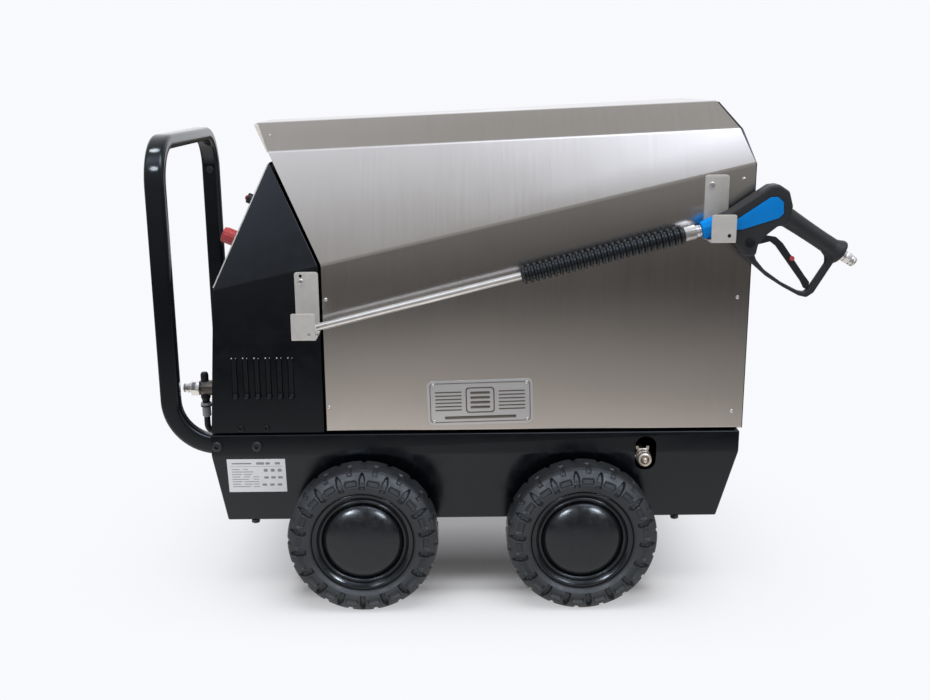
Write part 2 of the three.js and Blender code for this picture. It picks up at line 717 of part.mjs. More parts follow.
function buildLance() {
  const pipe = bar([LANCE.tubeStart, 0, 0], [LANCE.nutEnd - 18, 0, 0], TUBE_R, 16);
  add('lance_tube', pipe, 'brightSteel', lance);
  const nozzle = cut(
    join(
      bar([LANCE.tubeStart - GAP, 0, 0], [LANCE.tip + 6, 0, 0], 7.5, 6),
      bar([LANCE.tip + 7, 0, 0], [LANCE.tip, 0, 0], 5.5, 12),
    ),
    bar([LANCE.tip - 1, 0, 0], [LANCE.tip + 6, 0, 0], 1.5, 8),
  );
  add('nozzle', nozzle, 'brightSteel', lance);
  const ribs = 7;
  const ribPitch = (LANCE.gripEnd - LANCE.gripStart) / ribs;
  const rounds = Array.from({ length: ribs }, (_, i) => {
    const start = LANCE.gripStart + i * ribPitch;
    return bar([start, 0, 0], [start + ribPitch * 0.6, 0, 0], GRIP_R, 12);
  });
  const core = bar([LANCE.gripStart, 0, 0], [LANCE.gripEnd, 0, 0], GRIP_R - 3, 12);
  const bore = bar([LANCE.gripStart - 5, 0, 0], [LANCE.gripEnd + 5, 0, 0], TUBE_R + 0.5, 16);
  add('lance_grip', cut(join(core, ...rounds), bore), 'blackPlastic', lance);
  const nut = cut(
    join(
      bar([LANCE.gripEnd + GAP, 0, 0], [LANCE.nutEnd - 8, 0, 0], 12, 6),
      bar([LANCE.nutEnd - 9, 0, 0], [LANCE.nutEnd - GAP, 0, 0], 10, 16),
    ),
    bar([LANCE.gripEnd - 5, 0, 0], [LANCE.nutEnd - 17, 0, 0], TUBE_R + 0.5, 16),
  );
  add('lance_nut', nut, 'brightSteel', lance);
}

// ---------------------------------------------------------------- trigger gun

const GRIP_AXIS = { start: [528, -10], end: [607, -94.7] };
const GUN_GRIP_R = 16;
const PIVOT = [461, -37];
const LOCK = [526, -82];

function gunPoint([u, v], y = 0) {
  return [u, y, v];
}

// point on the grip's axis, at a distance past its start
function along(distance) {
  const [startU, startV] = GRIP_AXIS.start;
  const [endU, endV] = GRIP_AXIS.end;
  const length = Math.hypot(endU - startU, endV - startV);
  return [startU + ((endU - startU) * distance) / length, startV + ((endV - startV) * distance) / length];
}

const GRIP_LENGTH = Math.hypot(GRIP_AXIS.end[0] - GRIP_AXIS.start[0], GRIP_AXIS.end[1] - GRIP_AXIS.start[1]);

const gunOutline = [
  [LANCE.bodyStart, 14], [440, 18.7], [514, 45.5], [526, 43.5], [541, 28], [545, -2], [520, -26], [512, -22],
  [492, -32], [473, -45], [466, -62], [450, -56], [443, -36], [435, -20], [LANCE.bodyStart, -15],
];

const guardOuter = [
  [441, -37], [446, -52], [462, -73], [480, -100], [502, -124], [525, -146], [538, -152], [551, -147],
  [592, -106], [598, -98], [594, -84], [577, -85], [582, -94], [579, -104], [534, -143.5], [526, -140],
  [504, -114], [482, -88], [470, -68], [469, -50],
];

function valveBody(grow) {
  return join(
    bar([LANCE.gunStart + 6 - grow, 0, 0], [516, 0, 0], 8 + grow, 12),
    bar(gunPoint(along(-16)), gunPoint(along(GRIP_LENGTH - 1 + grow * 10)), 7 + grow, 12),
    bar([440 - grow, 0, 0], [500 + grow, 0, 6], 11 + grow, 12),
  );
}

function lever(grow, thickness) {
  const [pu, pv] = PIVOT;
  const outline = [
    [pu - 7 - grow, pv + 6 + grow], [490, -33 + grow], [509 + grow, -41 + grow], [517 + grow, -53],
    [542 + grow, -116], [547 + grow, -127], [543 + grow, -137 - grow], [537 - grow, -136 - grow],
    [534 - grow, -124], [505 - grow, -55], [498, -46 - grow], [482, -46 - grow],
    [pu - 7 - grow, pv - 7 - grow],
  ];
  return slab(outline, -thickness / 2, thickness / 2);
}

const TRIGGER_TRAVEL = 18; // degrees

function turnedAbout([u, v], body, degrees) {
  return body.translate([-u, 0, -v]).rotate([0, -degrees, 0]).translate([u, 0, v]);
}

function buildGun() {
  const whole = join(
    slab(gunOutline, -GUN_HALF_W, GUN_HALF_W),
    slab(guardOuter, -7, 7),
    bar(gunPoint(GRIP_AXIS.start), gunPoint(GRIP_AXIS.end), GUN_GRIP_R, 16),
    bar(gunPoint(along(GRIP_LENGTH - 14)), gunPoint(GRIP_AXIS.end), GUN_GRIP_R, 16, GUN_GRIP_R + 3),
  );
  const stops = 12;
  const sweep = Array.from({ length: stops + 1 }, (_, i) => (
    turnedAbout(PIVOT, lever(0.9, 9.4), (TRIGGER_TRAVEL * i) / stops)
  ));
  const pinBore = bar(gunPoint(PIVOT, -40), gunPoint(PIVOT, 40), 4.5, 12);
  const pocket = insertSolid(0.35, -60, -GUN_HALF_W + 1.2).add(insertSolid(0.35, GUN_HALF_W - 1.2, 60));
  const hollow = cut(whole, valveBody(0.4), ...sweep, pinBore, pocket);
  for (const [name, side] of [['near', -1], ['far', 1]]) {
    const half = side < 0
      ? block([300, -60, -250], [700, -0.15, 150])
      : block([300, 0.15, -250], [700, 60, 150]);
    add(`gun_shell_${name}`, hollow.intersect(half), 'blackPlastic', lance);
    const face = side * (GUN_HALF_W + 0.5);
    const back = side * (GUN_HALF_W - 0.9);
    add(`gun_insert_${name}`, insertSolid(0, Math.min(face, back), Math.max(face, back)), 'blue', lance);
  }
  const collar = cut(
    bar([LANCE.gunStart, 0, 0], [LANCE.bodyStart - GAP, 0, 0], 14, 16, 18),
    bar([LANCE.gunStart - 5, 0, 0], [LANCE.bodyStart + 5, 0, 0], 8.6, 12),
  );
  add('gun_collar', collar, 'blue', lance);
  add('gun_valve', valveBody(0), 'brass', lance);
}

const insertOutline = [
  [443, -12], [446, 4], [513, 27], [521, 25], [530, 14], [527, -6], [520, -12], [446, -14],
];

function insertSolid(grow, y0, y1) {
  const centre = [490, 4];
  const outline = insertOutline.map(([u, v]) => {
    const away = new THREE.Vector2(u - centre[0], v - centre[1]).normalize();
    return [u + away.x * grow, v + away.y * grow];
  });
  return slab(outline, y0, y1);
}

function buildTrigger() {
  const pinBore = bar(gunPoint(PIVOT, -20), gunPoint(PIVOT, 20), 4.5, 12);
  const lockBore = bar(gunPoint(LOCK, -20), gunPoint(LOCK, 20), 4.4, 12);
  add('trigger', cut(lever(0, 8), pinBore, lockBore), 'blackPlastic', lance);
  const pinEnd = GUN_HALF_W + 0.8;
  const pin = bar(gunPoint(PIVOT, -pinEnd), gunPoint(PIVOT, pinEnd), 4, 12);
  add('trigger_pin', pin, 'blackPlastic', lance);
  add('trigger_lock', bar(gunPoint(LOCK, -8), gunPoint(LOCK, 5), 3.9, 12), 'red', lance);
}

function buildSwivel() {
  const at = (distance) => gunPoint(along(GRIP_LENGTH + distance));
  const body = cut(
    join(
      bar(at(GAP), at(8), 9.5, 16),
      bar(at(7), at(18), 10.5, 6),
      bar(at(17), at(28), 9, 16),
    ),
    bar(at(15), at(35), 5, 12),
  );
  add('gun_swivel', body, 'brightSteel', lance);
}

// ---------------------------------------------------------------- machinery inside

function buildMachinery() {
  const shaftZ = 262;
  const motor = { x0: -5, x1: 215, r: 80 };
  const standTop = shaftZ - 60;
  const stand = block([motor.x0 + 30, -70, FLOOR_Z + CHASSIS_SHEET + GAP], [motor.x1 - 30, 70, standTop]);
  const can = join(
    bar([motor.x0, 0, shaftZ], [motor.x1, 0, shaftZ], motor.r, 24),
    block([motor.x0 + 80, -45, shaftZ + 60], [motor.x1 - 60, 45, shaftZ + 110]),
    stand,
  );
  const shaftBore = bar([motor.x0 - 5, 0, shaftZ], [motor.x1 + 5, 0, shaftZ], 15.5, 16);
  add('electric_motor', cut(can, shaftBore), 'castGrey');

  const pumpBack = motor.x0 - 62;
  const shaft = join(
    bar([pumpBack + 12, 0, shaftZ], [motor.x1 + 12, 0, shaftZ], 14, 16),
    bar([motor.x1 + 6, 0, shaftZ], [motor.x1 + 26, 0, shaftZ], 66, 20),
  );
  add('motor_shaft', shaft, 'brightSteel');

  const pump = join(
    block([pumpBack - 100, -75, shaftZ - 70], [pumpBack, 75, shaftZ + 70]),
    block([pumpBack - 170, -60, shaftZ - 50], [pumpBack - 99, 60, shaftZ + 50]),
    block([pumpBack - 90, -60, FLOOR_Z + CHASSIS_SHEET + GAP], [pumpBack - 10, 60, shaftZ - 69]),
  );
  add('pump', cut(pump, bar([pumpBack - 40, 0, shaftZ], [pumpBack + 5, 0, shaftZ], 15.5, 16)), 'brass');

  const tank = cut(
    block([255, -160, FLOOR_Z + CHASSIS_SHEET + GAP], [415, 160, 420]),
    block([259, -156, FLOOR_Z + CHASSIS_SHEET + 4], [411, 156, 430]),
  );
  add('water_tank', tank, 'tankPlastic');
  add('electrical_box', block([-400, -100, 390], [-290, 100, 540]), 'greyPlastic');
}

// ---------------------------------------------------------------- the machine

buildChassis();
buildWheels();
buildHandle();
buildHood();
buildConsole();
buildOutlet();
buildInlet();
buildPlates();
buildHooks();
buildLance();
buildGun();
buildTrigger();
buildSwivel();
buildMachinery();

export default machine;
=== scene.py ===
"""Looks of a commercial pressure washer on four wheels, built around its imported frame.

Lengths are millimetres in the frame's own axes: +X from the push handle to the gun, +Y the far side, +Z up.
"""

import math

import bmesh
import bpy
from mathutils import Matrix, Vector


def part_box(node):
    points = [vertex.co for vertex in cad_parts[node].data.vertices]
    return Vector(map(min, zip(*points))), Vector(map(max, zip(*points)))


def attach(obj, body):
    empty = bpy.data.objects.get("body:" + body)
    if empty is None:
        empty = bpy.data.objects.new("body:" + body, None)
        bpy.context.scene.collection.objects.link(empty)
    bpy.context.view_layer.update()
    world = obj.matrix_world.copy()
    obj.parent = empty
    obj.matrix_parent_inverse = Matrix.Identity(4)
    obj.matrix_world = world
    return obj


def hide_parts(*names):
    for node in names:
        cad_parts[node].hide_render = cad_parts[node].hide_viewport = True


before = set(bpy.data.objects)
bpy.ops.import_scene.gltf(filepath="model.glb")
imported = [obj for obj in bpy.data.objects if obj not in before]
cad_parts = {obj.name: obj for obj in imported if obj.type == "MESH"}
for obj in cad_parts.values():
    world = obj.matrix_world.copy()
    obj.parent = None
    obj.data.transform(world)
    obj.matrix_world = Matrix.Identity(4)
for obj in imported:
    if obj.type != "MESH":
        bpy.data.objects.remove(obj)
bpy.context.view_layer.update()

MM = 0.001
SIDES = (("near", -1), ("far", 1))
X_AXIS, Y_AXIS, Z_AXIS = Vector((1, 0, 0)), Vector((0, 1, 0)), Vector((0, 0, 1))

bpy.context.scene.view_settings.view_transform = "Standard"

# ---------------- places read from the frame


def box(node):
    """Lowest and highest corner of a CAD node."""
    low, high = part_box(node)
    return low / MM, high / MM


def middle(node):
    low, high = box(node)
    return (low + high) / 2


def corner(node, *direction):
    """The point of a CAD node that lies furthest along a direction."""
    aim = Vector(direction)
    return max((v.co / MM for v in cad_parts[node].data.vertices), key=aim.dot)


def far(point):
    """The same point on the far side of the machine."""
    return Vector((point.x, -point.y, point.z))


# ---------------- mesh helpers


def rounded(points, radius, steps=5, closed=False):
    """A run of points with every corner turned into an arc."""
    points = [Vector(p) for p in points]
    count = len(points)
    out = []
    for i, here in enumerate(points):
        if not closed and i in (0, count - 1):
            out.append(here)
            continue
        back = points[i - 1] - here
        ahead = points[(i + 1) % count] - here
        if min(back.length, ahead.length) < 1e-6 or abs(back.angle(ahead) - math.pi) < 1e-3:
            out.append(here)
            continue
        half = back.angle(ahead) / 2
        reach = min(radius / math.tan(half), back.length * 0.49, ahead.length * 0.49)
        start = here + back.normalized() * reach
        end = here + ahead.normalized() * reach
        centre = here + (back.normalized() + ahead.normalized()).normalized() * (reach / math.cos(half))
        turn = math.pi - 2 * half
        for s in range(steps + 1):
            a = turn * s / steps
            spoke = (start - centre) * math.sin(turn - a) + (end - centre) * math.sin(a)
            out.append(centre + spoke / math.sin(turn))
    return out


def rounded_flat(points, radius, steps=5, closed=False):
    """A flat run of [a, b] pairs with every corner turned into an arc."""
    run = rounded([Vector((a, b, 0)) for a, b in points], radius, steps, closed)
    return [(p.x, p.y) for p in run]


def divided(run, step):
    """A run of points with each stretch cut into equal parts, each about one step long."""
    out = [run[0]]
    for here in run[1:]:
        start = out[-1]
        count = max(1, round((here - start).length / step))
        out += [start.lerp(here, k / count) for k in range(1, count + 1)]
    return out


def heading(run, i):
    """The direction of a run of points at one of them."""
    return (run[min(i + 1, len(run) - 1)] - run[max(i - 1, 0)]).normalized()


def grid(rows, wrap_rows=False, wrap_columns=False):
    """Vertices and quads of a net of points."""
    high, wide = len(rows), len(rows[0])
    verts = [p for row in rows for p in row]
    faces = []
    for i in range(high if wrap_rows else high - 1):
        for j in range(wide if wrap_columns else wide - 1):
            a, b = i * wide + j, i * wide + (j + 1) % wide
            c, d = ((i + 1) % high) * wide + (j + 1) % wide, ((i + 1) % high) * wide + j
            faces.append((a, b, c, d))
    return verts, faces


def tube(rows):
    """A net whose rows close on themselves, with a face over each end."""
    verts, faces = grid(rows, wrap_columns=True)
    wide = len(rows[0])
    return verts, [*faces, tuple(range(wide))[::-1], tuple(range(len(verts) - wide, len(verts)))]


def basis(axis):
    """Two directions square to an axis and to each other."""
    axis = axis.normalized()
    side = axis.cross(Vector((0, 0, 1)))
    if side.length < 0.01:
        side = axis.cross(Vector((1, 0, 0)))
    side.normalize()
    return side, axis.cross(side)


def lathe(profile, start, axis, segments=64, turn=0.0):
    """A solid turned about an axis; the profile lists [radius, distance along the axis]."""
    start, axis = Vector(start), Vector(axis).normalized()
    side, up = basis(axis)
    rows = []
    for radius, along in profile:
        angles = [turn + 2 * math.pi * k / segments for k in range(segments)]
        rows.append([start + axis * along + (side * math.cos(a) + up * math.sin(a)) * radius for a in angles])
    return grid(rows, wrap_columns=True)


def turned(section, start, axis, segments=64, turn=0.0):
    """A solid turned from a section that closes on itself, clear of the axis."""
    return lathe([*section, section[0]], start, axis, segments, turn)


def disc_ends(profile):
    """A turned profile closed on its axis at both ends."""
    return [(0, profile[0][1]), *profile, (0, profile[-1][1])]


def peg(radius, low, high, start, axis, segments):
    """A plain round bar between two distances along an axis."""
    return lathe(disc_ends([(radius, low), (radius, high)]), start, axis, segments)


def softened(profile, radius=0.5, steps=3):
    """A turned profile with its corners rounded."""
    return [(max(r, 0.0), a) for r, a in rounded_flat(disc_ends(profile), radius, steps)]


def sweep(path, section, side):
    """A closed section carried along a path; side stays square to the path all the way."""
    rows = []
    for i, here in enumerate(path):
        normal = side.cross(heading(path, i)).normalized()
        rows.append([here + side * u + normal * v for u, v in section])
    return tube(rows)


def ring(radius, sides=24):
    angles = [2 * math.pi * k / sides for k in range(sides)]
    return [(radius * math.cos(a), radius * math.sin(a)) for a in angles]


def oblong(width, height, radius, steps=5):
    """A rectangle with rounded corners, centred on nothing, as [u, v] pairs."""
    w, h = width / 2, height / 2
    return rounded_flat([(-w, -h), (w, -h), (w, h), (-w, h)], radius, steps, closed=True)


def prism(outline, origin, u_axis, v_axis, depth):
    """A flat outline given thickness along u x v."""
    u_axis, v_axis = Vector(u_axis).normalized(), Vector(v_axis).normalized()
    lift = u_axis.cross(v_axis) * depth
    base = [Vector(origin) + u_axis * u + v_axis * v for u, v in outline]
    count = len(base)
    verts = base + [p + lift for p in base]
    sides = [(i, (i + 1) % count, (i + 1) % count + count, i + count) for i in range(count)]
    return verts, [tuple(range(count))[::-1], tuple(range(count, 2 * count)), *sides]


def combined(parts):
    verts, faces = [], []
    for more_verts, more_faces in parts:
        base = len(verts)
        verts += [Vector(v) for v in more_verts]
        faces += [tuple(i + base for i in face) for face in more_faces]
    return verts, faces


def sharp_edges(bm, degrees):
    return [e for e in bm.edges if len(e.link_faces) == 2 and e.calc_face_angle(0) > math.radians(degrees)]


def bevelled(bm, width, segments=3, degrees=30):
    bmesh.ops.bevel(
        bm, geom=sharp_edges(bm, degrees), offset=width, segments=segments,
        profile=0.5, affect="EDGES", clamp_overlap=True,
    )


def raw_mesh(verts, faces, merge):
    """A bmesh of points and faces; points closer together than the merge distance become one."""
    bm = bmesh.new()
    made = [bm.verts.new(v) for v in verts]
    for face in faces:
        bm.faces.new([made[i] for i in face])
    bmesh.ops.remove_doubles(bm, verts=bm.verts, dist=merge)
    return bm


def mesh_of(parts, bevel=0.0, segments=3, degrees=30):
    """A bmesh in millimetres with doubled points merged and faces looking out."""
    bm = raw_mesh(*combined(parts), 0.002)
    bmesh.ops.dissolve_degenerate(bm, edges=bm.edges, dist=0.001)
    bmesh.ops.recalc_face_normals(bm, faces=bm.faces)
    if bevel:
        bevelled(bm, bevel, segments, degrees)
    return bm


def placed(obj):
    """Adds an object to the scene."""
    bpy.context.scene.collection.objects.link(obj)
    return obj


def shaded(mesh, degrees):
    """Smooth faces, with sharp edges where two of them meet at more than an angle."""
    mesh.polygons.foreach_set("use_smooth", [True] * len(mesh.polygons))
    mesh.set_sharp_from_angle(angle=math.radians(degrees))


def link(name, bm, material, smooth=35):
    """An object made of a bmesh in millimetres."""
    bmesh.ops.scale(bm, vec=(MM, MM, MM), verts=bm.verts)
    mesh = bpy.data.meshes.new(name)
    bm.to_mesh(mesh)
    bm.free()
    shaded(mesh, smooth)
    mesh.materials.append(material)
    return placed(bpy.data.objects.new(name, mesh))


def settle(obj, body="root", replaces=()):
    """The piece moves with a body and stands for CAD nodes."""
    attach(obj, body)
    if replaces:
        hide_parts(*replaces)
    return obj


def dressed(name, look, edge, degrees=30):
    """A CAD node shown as it is, with rounded edges and a finish."""
    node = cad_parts[name]
    if edge:
        trim = node.modifiers.new("edge", "BEVEL")
        trim.width = edge * MM
        trim.segments = 2
        trim.angle_limit = math.radians(degrees)
    node.data.materials.clear()
    node.data.materials.append(look[1])


def piece(name, parts, look, body="root", replaces=(), bevel=0.0, segments=3, smooth=35):
    """A closed shape with its own name, finish and body."""
    slot, material = look
    obj = link(name, mesh_of(parts, bevel, segments), material, smooth)
    return settle(obj, body, replaces)


def sheet(name, panels, thickness, fold, look, replaces=(), steps=4, smooth=35):
    """A piece of folded sheet that is fixed to the machine."""
    slot, material = look
    obj = link(name, folded(panels, thickness, fold, steps), material, smooth)
    return settle(obj, replaces=replaces)


def folded(polygons, thickness, fold, steps=4):
    """Sheet metal: flat panels that meet at folds, given their thickness inward."""
    verts, faces = [], []
    for polygon in polygons:
        faces.append(tuple(range(len(verts), len(verts) + len(polygon))))
        verts += polygon
    bm = raw_mesh(verts, faces, 0.01)
    bmesh.ops.recalc_face_normals(bm, faces=bm.faces)
    bevelled(bm, fold, steps, degrees=1.15)
    bmesh.ops.solidify(bm, geom=bm.faces[:], thickness=thickness)
    bmesh.ops.recalc_face_normals(bm, faces=bm.faces)
    return bm


def baked(obj, smooth=35):
    """Writes the object's modifiers into its mesh."""
    graph = bpy.context.evaluated_depsgraph_get()
    mesh = bpy.data.meshes.new_from_object(obj.evaluated_get(graph))
    obj.modifiers.clear()
    obj.data = mesh
    shaded(mesh, smooth)
    return obj


def pierced(obj, cutters, smooth=35):
    """Cuts closed shapes out of an object."""
    tool = link("cutter", mesh_of(cutters), obj.data.materials[0])
    change = obj.modifiers.new("cut", "BOOLEAN")
    change.operation = "DIFFERENCE"
    change.solver = "EXACT"
    change.use_self = True
    change.object = tool
    baked(obj, smooth)
    bpy.data.objects.remove(tool)
    return obj

# ---------------- material helpers


class Nodes:
    """Short ways to add nodes to a tree."""

    def __init__(self, tree):
        self.tree = tree

    def node(self, kind, inputs=None, **settings):
        made = self.tree.nodes.new(kind)
        for key, value in settings.items():
            setattr(made, key, value)
        for key, value in (inputs or {}).items():
            self.feed(made.inputs[key], value)
        return made

    def feed(self, socket, value):
        if isinstance(value, bpy.types.NodeSocket):
            self.tree.links.new(value, socket)
        else:
            socket.default_value = value

    def spread(self, value, low, high, to_low=0.0, to_high=1.0):
        """Maps low..high onto to_low..to_high, held at both ends."""
        inputs = {"Value": value, "From Min": low, "From Max": high, "To Min": to_low, "To Max": to_high}
        return self.node("ShaderNodeMapRange", inputs).outputs[0]

    def maths(self, operation, a, b=0.0):
        made = self.node("ShaderNodeMath", operation=operation)
        self.feed(made.inputs[0], a)
        self.feed(made.inputs[1], b)
        return made.outputs[0]

    def vector(self, operation, a, b):
        return self.node("ShaderNodeVectorMath", {0: a, 1: b}, operation=operation).outputs[0]

    def blend(self, share, a, b):
        made = self.node("ShaderNodeMix", data_type="RGBA")
        self.feed(made.inputs["Factor"], share)
        self.feed(made.inputs[6], a)
        self.feed(made.inputs[7], b)
        return made.outputs[2]


class Shader(Nodes):
    """A node material; textures follow the piece's own axes, in metres."""

    def __init__(self, name, roughness=0.5, metallic=0.0, specular=0.5):
        self.material = bpy.data.materials.new(name)
        self.material.use_nodes = True
        super().__init__(self.material.node_tree)
        self.bsdf = next(n for n in self.tree.nodes if n.type == "BSDF_PRINCIPLED")
        self.place = self.node("ShaderNodeTexCoord").outputs["Object"]
        self.set("Roughness", roughness)
        self.set("Metallic", metallic)
        self.set("Specular IOR Level", specular)

    def set(self, name, value):
        self.feed(self.bsdf.inputs[name], value)

    def noise(self, scale, detail=3.0, stretch=(1, 1, 1), rough=0.5):
        """Noise from 0 to 1 with so many features a metre; stretch above 1 packs them closer on an axis."""
        moved = self.node("ShaderNodeMapping", {"Vector": self.place, "Scale": stretch})
        inputs = {"Vector": moved.outputs[0], "Scale": scale, "Detail": detail, "Roughness": rough}
        return self.node("ShaderNodeTexNoise", inputs).outputs["Fac"]

    def bump(self, height, strength, distance=0.0005, under=None):
        inputs = {"Height": height, "Strength": strength, "Distance": distance}
        made = self.node("ShaderNodeBump", inputs)
        if under is not None:
            self.feed(made.inputs["Normal"], under)
        return made.outputs[0]


COOL = (0.78, 0.88, 1.0, 1)  # the sheen of dark finishes
NEARLY_BLACK = 0.04


def rgb(red, green, blue):
    """A colour given as display values from 0 to 255."""
    def linear(value):
        value /= 255
        return value / 12.92 if value <= 0.04045 else ((value + 0.055) / 1.055) ** 2.4
    return (linear(red), linear(green), linear(blue), 1.0)


def tinted(name, colour, roughness, metallic=0.0, specular=0.5, shade=0.8, cloud=14, grain=900, depth=0.1,
           rough_swing=0.07):
    """A moulded, painted or cast finish: cloudy colour, uneven gloss and a fine grain."""
    s = Shader(name, roughness, metallic, specular)
    dark = tuple(c * shade for c in colour[:3]) + (1.0,)
    cloudy = s.spread(s.noise(cloud, 5.0), 0.35, 0.65)
    s.set("Base Color", s.blend(cloudy, dark, colour))
    uneven = s.noise(cloud * 3, 6.0)
    s.set("Roughness", s.spread(uneven, 0.3, 0.7, roughness - rough_swing, roughness + rough_swing))
    s.set("Normal", s.bump(s.noise(grain, 2.0), depth, 0.0004))
    if max(colour[:3]) < NEARLY_BLACK:
        s.set("Specular Tint", COOL)
    return s


def brushed(name, colour, roughness, stretch, swing=0.02, waviness=0.25):
    """Rolled or brushed sheet: fine lines along one axis and a slightly uneven surface."""
    s = Shader(name, roughness, 1.0)
    lines = s.noise(260, 6.0, stretch, 0.7)
    dark = tuple(c * 0.965 for c in colour[:3]) + (1.0,)
    smear = s.noise(5, 4.0, (0.7, 0.7, 1.6))
    s.set("Base Color", s.blend(s.spread(lines, 0.3, 0.7), dark, colour))
    fine = s.spread(lines, 0.3, 0.7, roughness - swing, roughness + swing)
    broad = s.spread(smear, 0.3, 0.7, -0.02, 0.03)
    s.set("Roughness", s.maths("ADD", fine, broad))
    wave = s.bump(s.noise(3.2, 2.0), waviness, 0.004)
    s.set("Normal", s.bump(lines, 0.012, 0.0002, wave))
    return s


def steel_sheet():
    s = brushed("brushed_stainless", rgb(205, 203, 202), 0.2, (1, 0.03, 0.03))
    s.set("Anisotropic", 0.65)
    tangent = s.node("ShaderNodeTangent", direction_type="RADIAL", axis="Z")
    s.set("Tangent", tangent.outputs[0])
    return s.material


def black_powder():
    s = tinted("black_powder_coat", (0.003, 0.0033, 0.005, 1), 0.2, shade=0.85, grain=1500, depth=0.05)
    return s.material


def handle_paint():
    s = tinted("black_gloss_paint", (0.004, 0.0048, 0.0065, 1), 0.13, specular=0.6, grain=500, depth=0.02,
               rough_swing=0.02)
    return s.material


def tyre_rubber():
    s = tinted("tyre_rubber", (0.0235, 0.0243, 0.027, 1), 0.5, shade=0.7, cloud=22, grain=1400, depth=0.18,
               rough_swing=0.1)
    return s.material


def rim_plastic():
    return tinted("rim_plastic", (0.009, 0.0095, 0.0115, 1), 0.17, grain=700, depth=0.05).material


def cap_plastic():
    return tinted("cap_plastic", (0.010, 0.0105, 0.0125, 1), 0.24, cloud=30, grain=300, depth=0.05).material


def black_mould(name="black_moulding", roughness=0.46, shade=0.0155):
    return tinted(name, (shade, shade, shade * 1.05, 1), roughness, grain=2200, depth=0.14).material


def grip_rubber():
    s = tinted("grip_rubber", (0.010, 0.0115, 0.0135, 1), 0.25, specular=0.7, grain=1200, depth=0.05)
    return s.material


def coloured_mould(name, colour, roughness=0.42, specular=0.5):
    s = tinted(name, colour, roughness, specular=specular, shade=0.88, grain=2000, depth=0.08)
    return s.material


def bright_metal(name="bright_steel", colour=rgb(238, 238, 240), roughness=0.17):
    s = tinted(name, colour, roughness, 0.85, shade=0.92, cloud=60, grain=700, depth=0.008, rough_swing=0.03)
    return s.material


def dark_screw(name, colour, roughness):
    return tinted(name, colour, roughness, 0.3, grain=900).material


def hook_sheet():
    s = tinted("zinc_sheet", rgb(202, 200, 197), 0.5, 0.35, shade=0.93, cloud=80, grain=1300, depth=0.06)
    return s.material


def plate_metal():
    s = brushed("plate_aluminium", rgb(202, 202, 204), 0.36, (0.05, 1, 1), waviness=0.0)
    s.set("Metallic", 0.55)
    return s.material


def cast_metal(name, colour, metallic=0.6):
    return tinted(name, colour, 0.55, metallic, shade=0.75, cloud=20, grain=500, depth=0.35).material


def tank_shell():
    s = tinted("tank_polyethylene", rgb(216, 214, 204), 0.5, cloud=9, grain=260, depth=0.1)
    s.set("Subsurface Weight", 0.15)
    return s.material


def label_film():
    s = tinted("label_film", rgb(228, 229, 232), 0.38, shade=0.97, cloud=40, grain=900, depth=0.02)
    return s.material


def label_ink():
    return tinted("label_ink", rgb(150, 152, 158), 0.5, cloud=200, grain=900, depth=0.02).material


def lamp_lens():
    s = tinted("lamp_lens", rgb(190, 40, 42), 0.18, cloud=120, grain=300, depth=0.03)
    s.set("Transmission Weight", 0.25)
    return s.material


# Near-black and almost matt: painted shade, laid where holes, slots and gaps show only the dark inside.
def painted_shade_black():
    return tinted("painted_shade_black", (0.002, 0.002, 0.002, 1), 0.8, specular=0.1).material


STEEL = ("stainless", steel_sheet())
PAINT = ("black_paint", black_powder())
GLOSS = ("black_paint", handle_paint())
RUBBER = ("tyre_rubber", tyre_rubber())
RIM = ("black_plastic", rim_plastic())
CAP = ("black_plastic", cap_plastic())
PLASTIC = ("black_plastic", black_mould())
GUN_PLASTIC = ("black_plastic", black_mould("gun_moulding", 0.5, 0.025))
GRIP = ("black_plastic", grip_rubber())
BLUE = ("blue_plastic", coloured_mould("blue_moulding", (0.001, 0.195, 0.6, 1), 0.6, 0.1))
RED = ("red_plastic", coloured_mould("red_moulding", rgb(176, 62, 66)))
GREY = ("grey_plastic", coloured_mould("grey_moulding", rgb(160, 161, 165)))
BRIGHT = ("bright_steel", bright_metal())
NICKEL = ("bright_steel", bright_metal("nickel_brass", rgb(238, 231, 222), 0.2))
DARK_STEEL = ("bright_steel", bright_metal("darkened_steel", rgb(120, 116, 112), 0.3))
HOOK = ("hook_metal", hook_sheet())
PLATE = ("hook_metal", plate_metal())
CAST = ("cast_grey", cast_metal("cast_iron", rgb(96, 102, 106)))
BRASS = ("brass", cast_metal("forged_brass", rgb(186, 156, 92), 1.0))
TANK = ("tank_plastic", tank_shell())
FILM = ("label_white", label_film())
INK = ("black_plastic", label_ink())
LENS = ("red_plastic", lamp_lens())
# painted shade for holes, slots and gaps
PAINTED_SHADE = ("black_plastic", painted_shade_black())
HANDLE_SCREW = ("bright_steel", dark_screw("blackened_steel", (0.035, 0.036, 0.039, 1), 0.34))
BLACK_SCREW = ("bright_steel", dark_screw("black_oxide", (0.012, 0.0125, 0.014, 1), 0.22))

# ---------------- chassis tray

PAINT_SHEET = 2.5
TRAY_FOLD = 2.6
HANDLE_TUBE = (33.4, 25.0)  # section along the machine's length and across it
AXLES = ("axle_front", "axle_rear")
AXLE_HOLE_R = 10.8
CABLE_HOLE_R = 6.6
INLET = middle("water_inlet")
INLET_SLOT = Vector((INLET.x + 4.5, 0, INLET.z + 5))
OUTLET = middle("outlet_nut")


def belt(lower, upper):
    """Four panels between two four-cornered loops."""
    return [[lower[i], lower[(i + 1) % 4], upper[(i + 1) % 4], upper[i]] for i in range(4)]


def loop(left, right):
    """Four corners from a near left and a near right one."""
    return [left, right, far(right), far(left)]


def inset(points, by, drop=0.0):
    """A loop drawn in towards its own middle by the same amount on each side, and moved down."""
    return [Vector((p.x - math.copysign(by, p.x), p.y - math.copysign(by, p.y), p.z - drop)) for p in points]


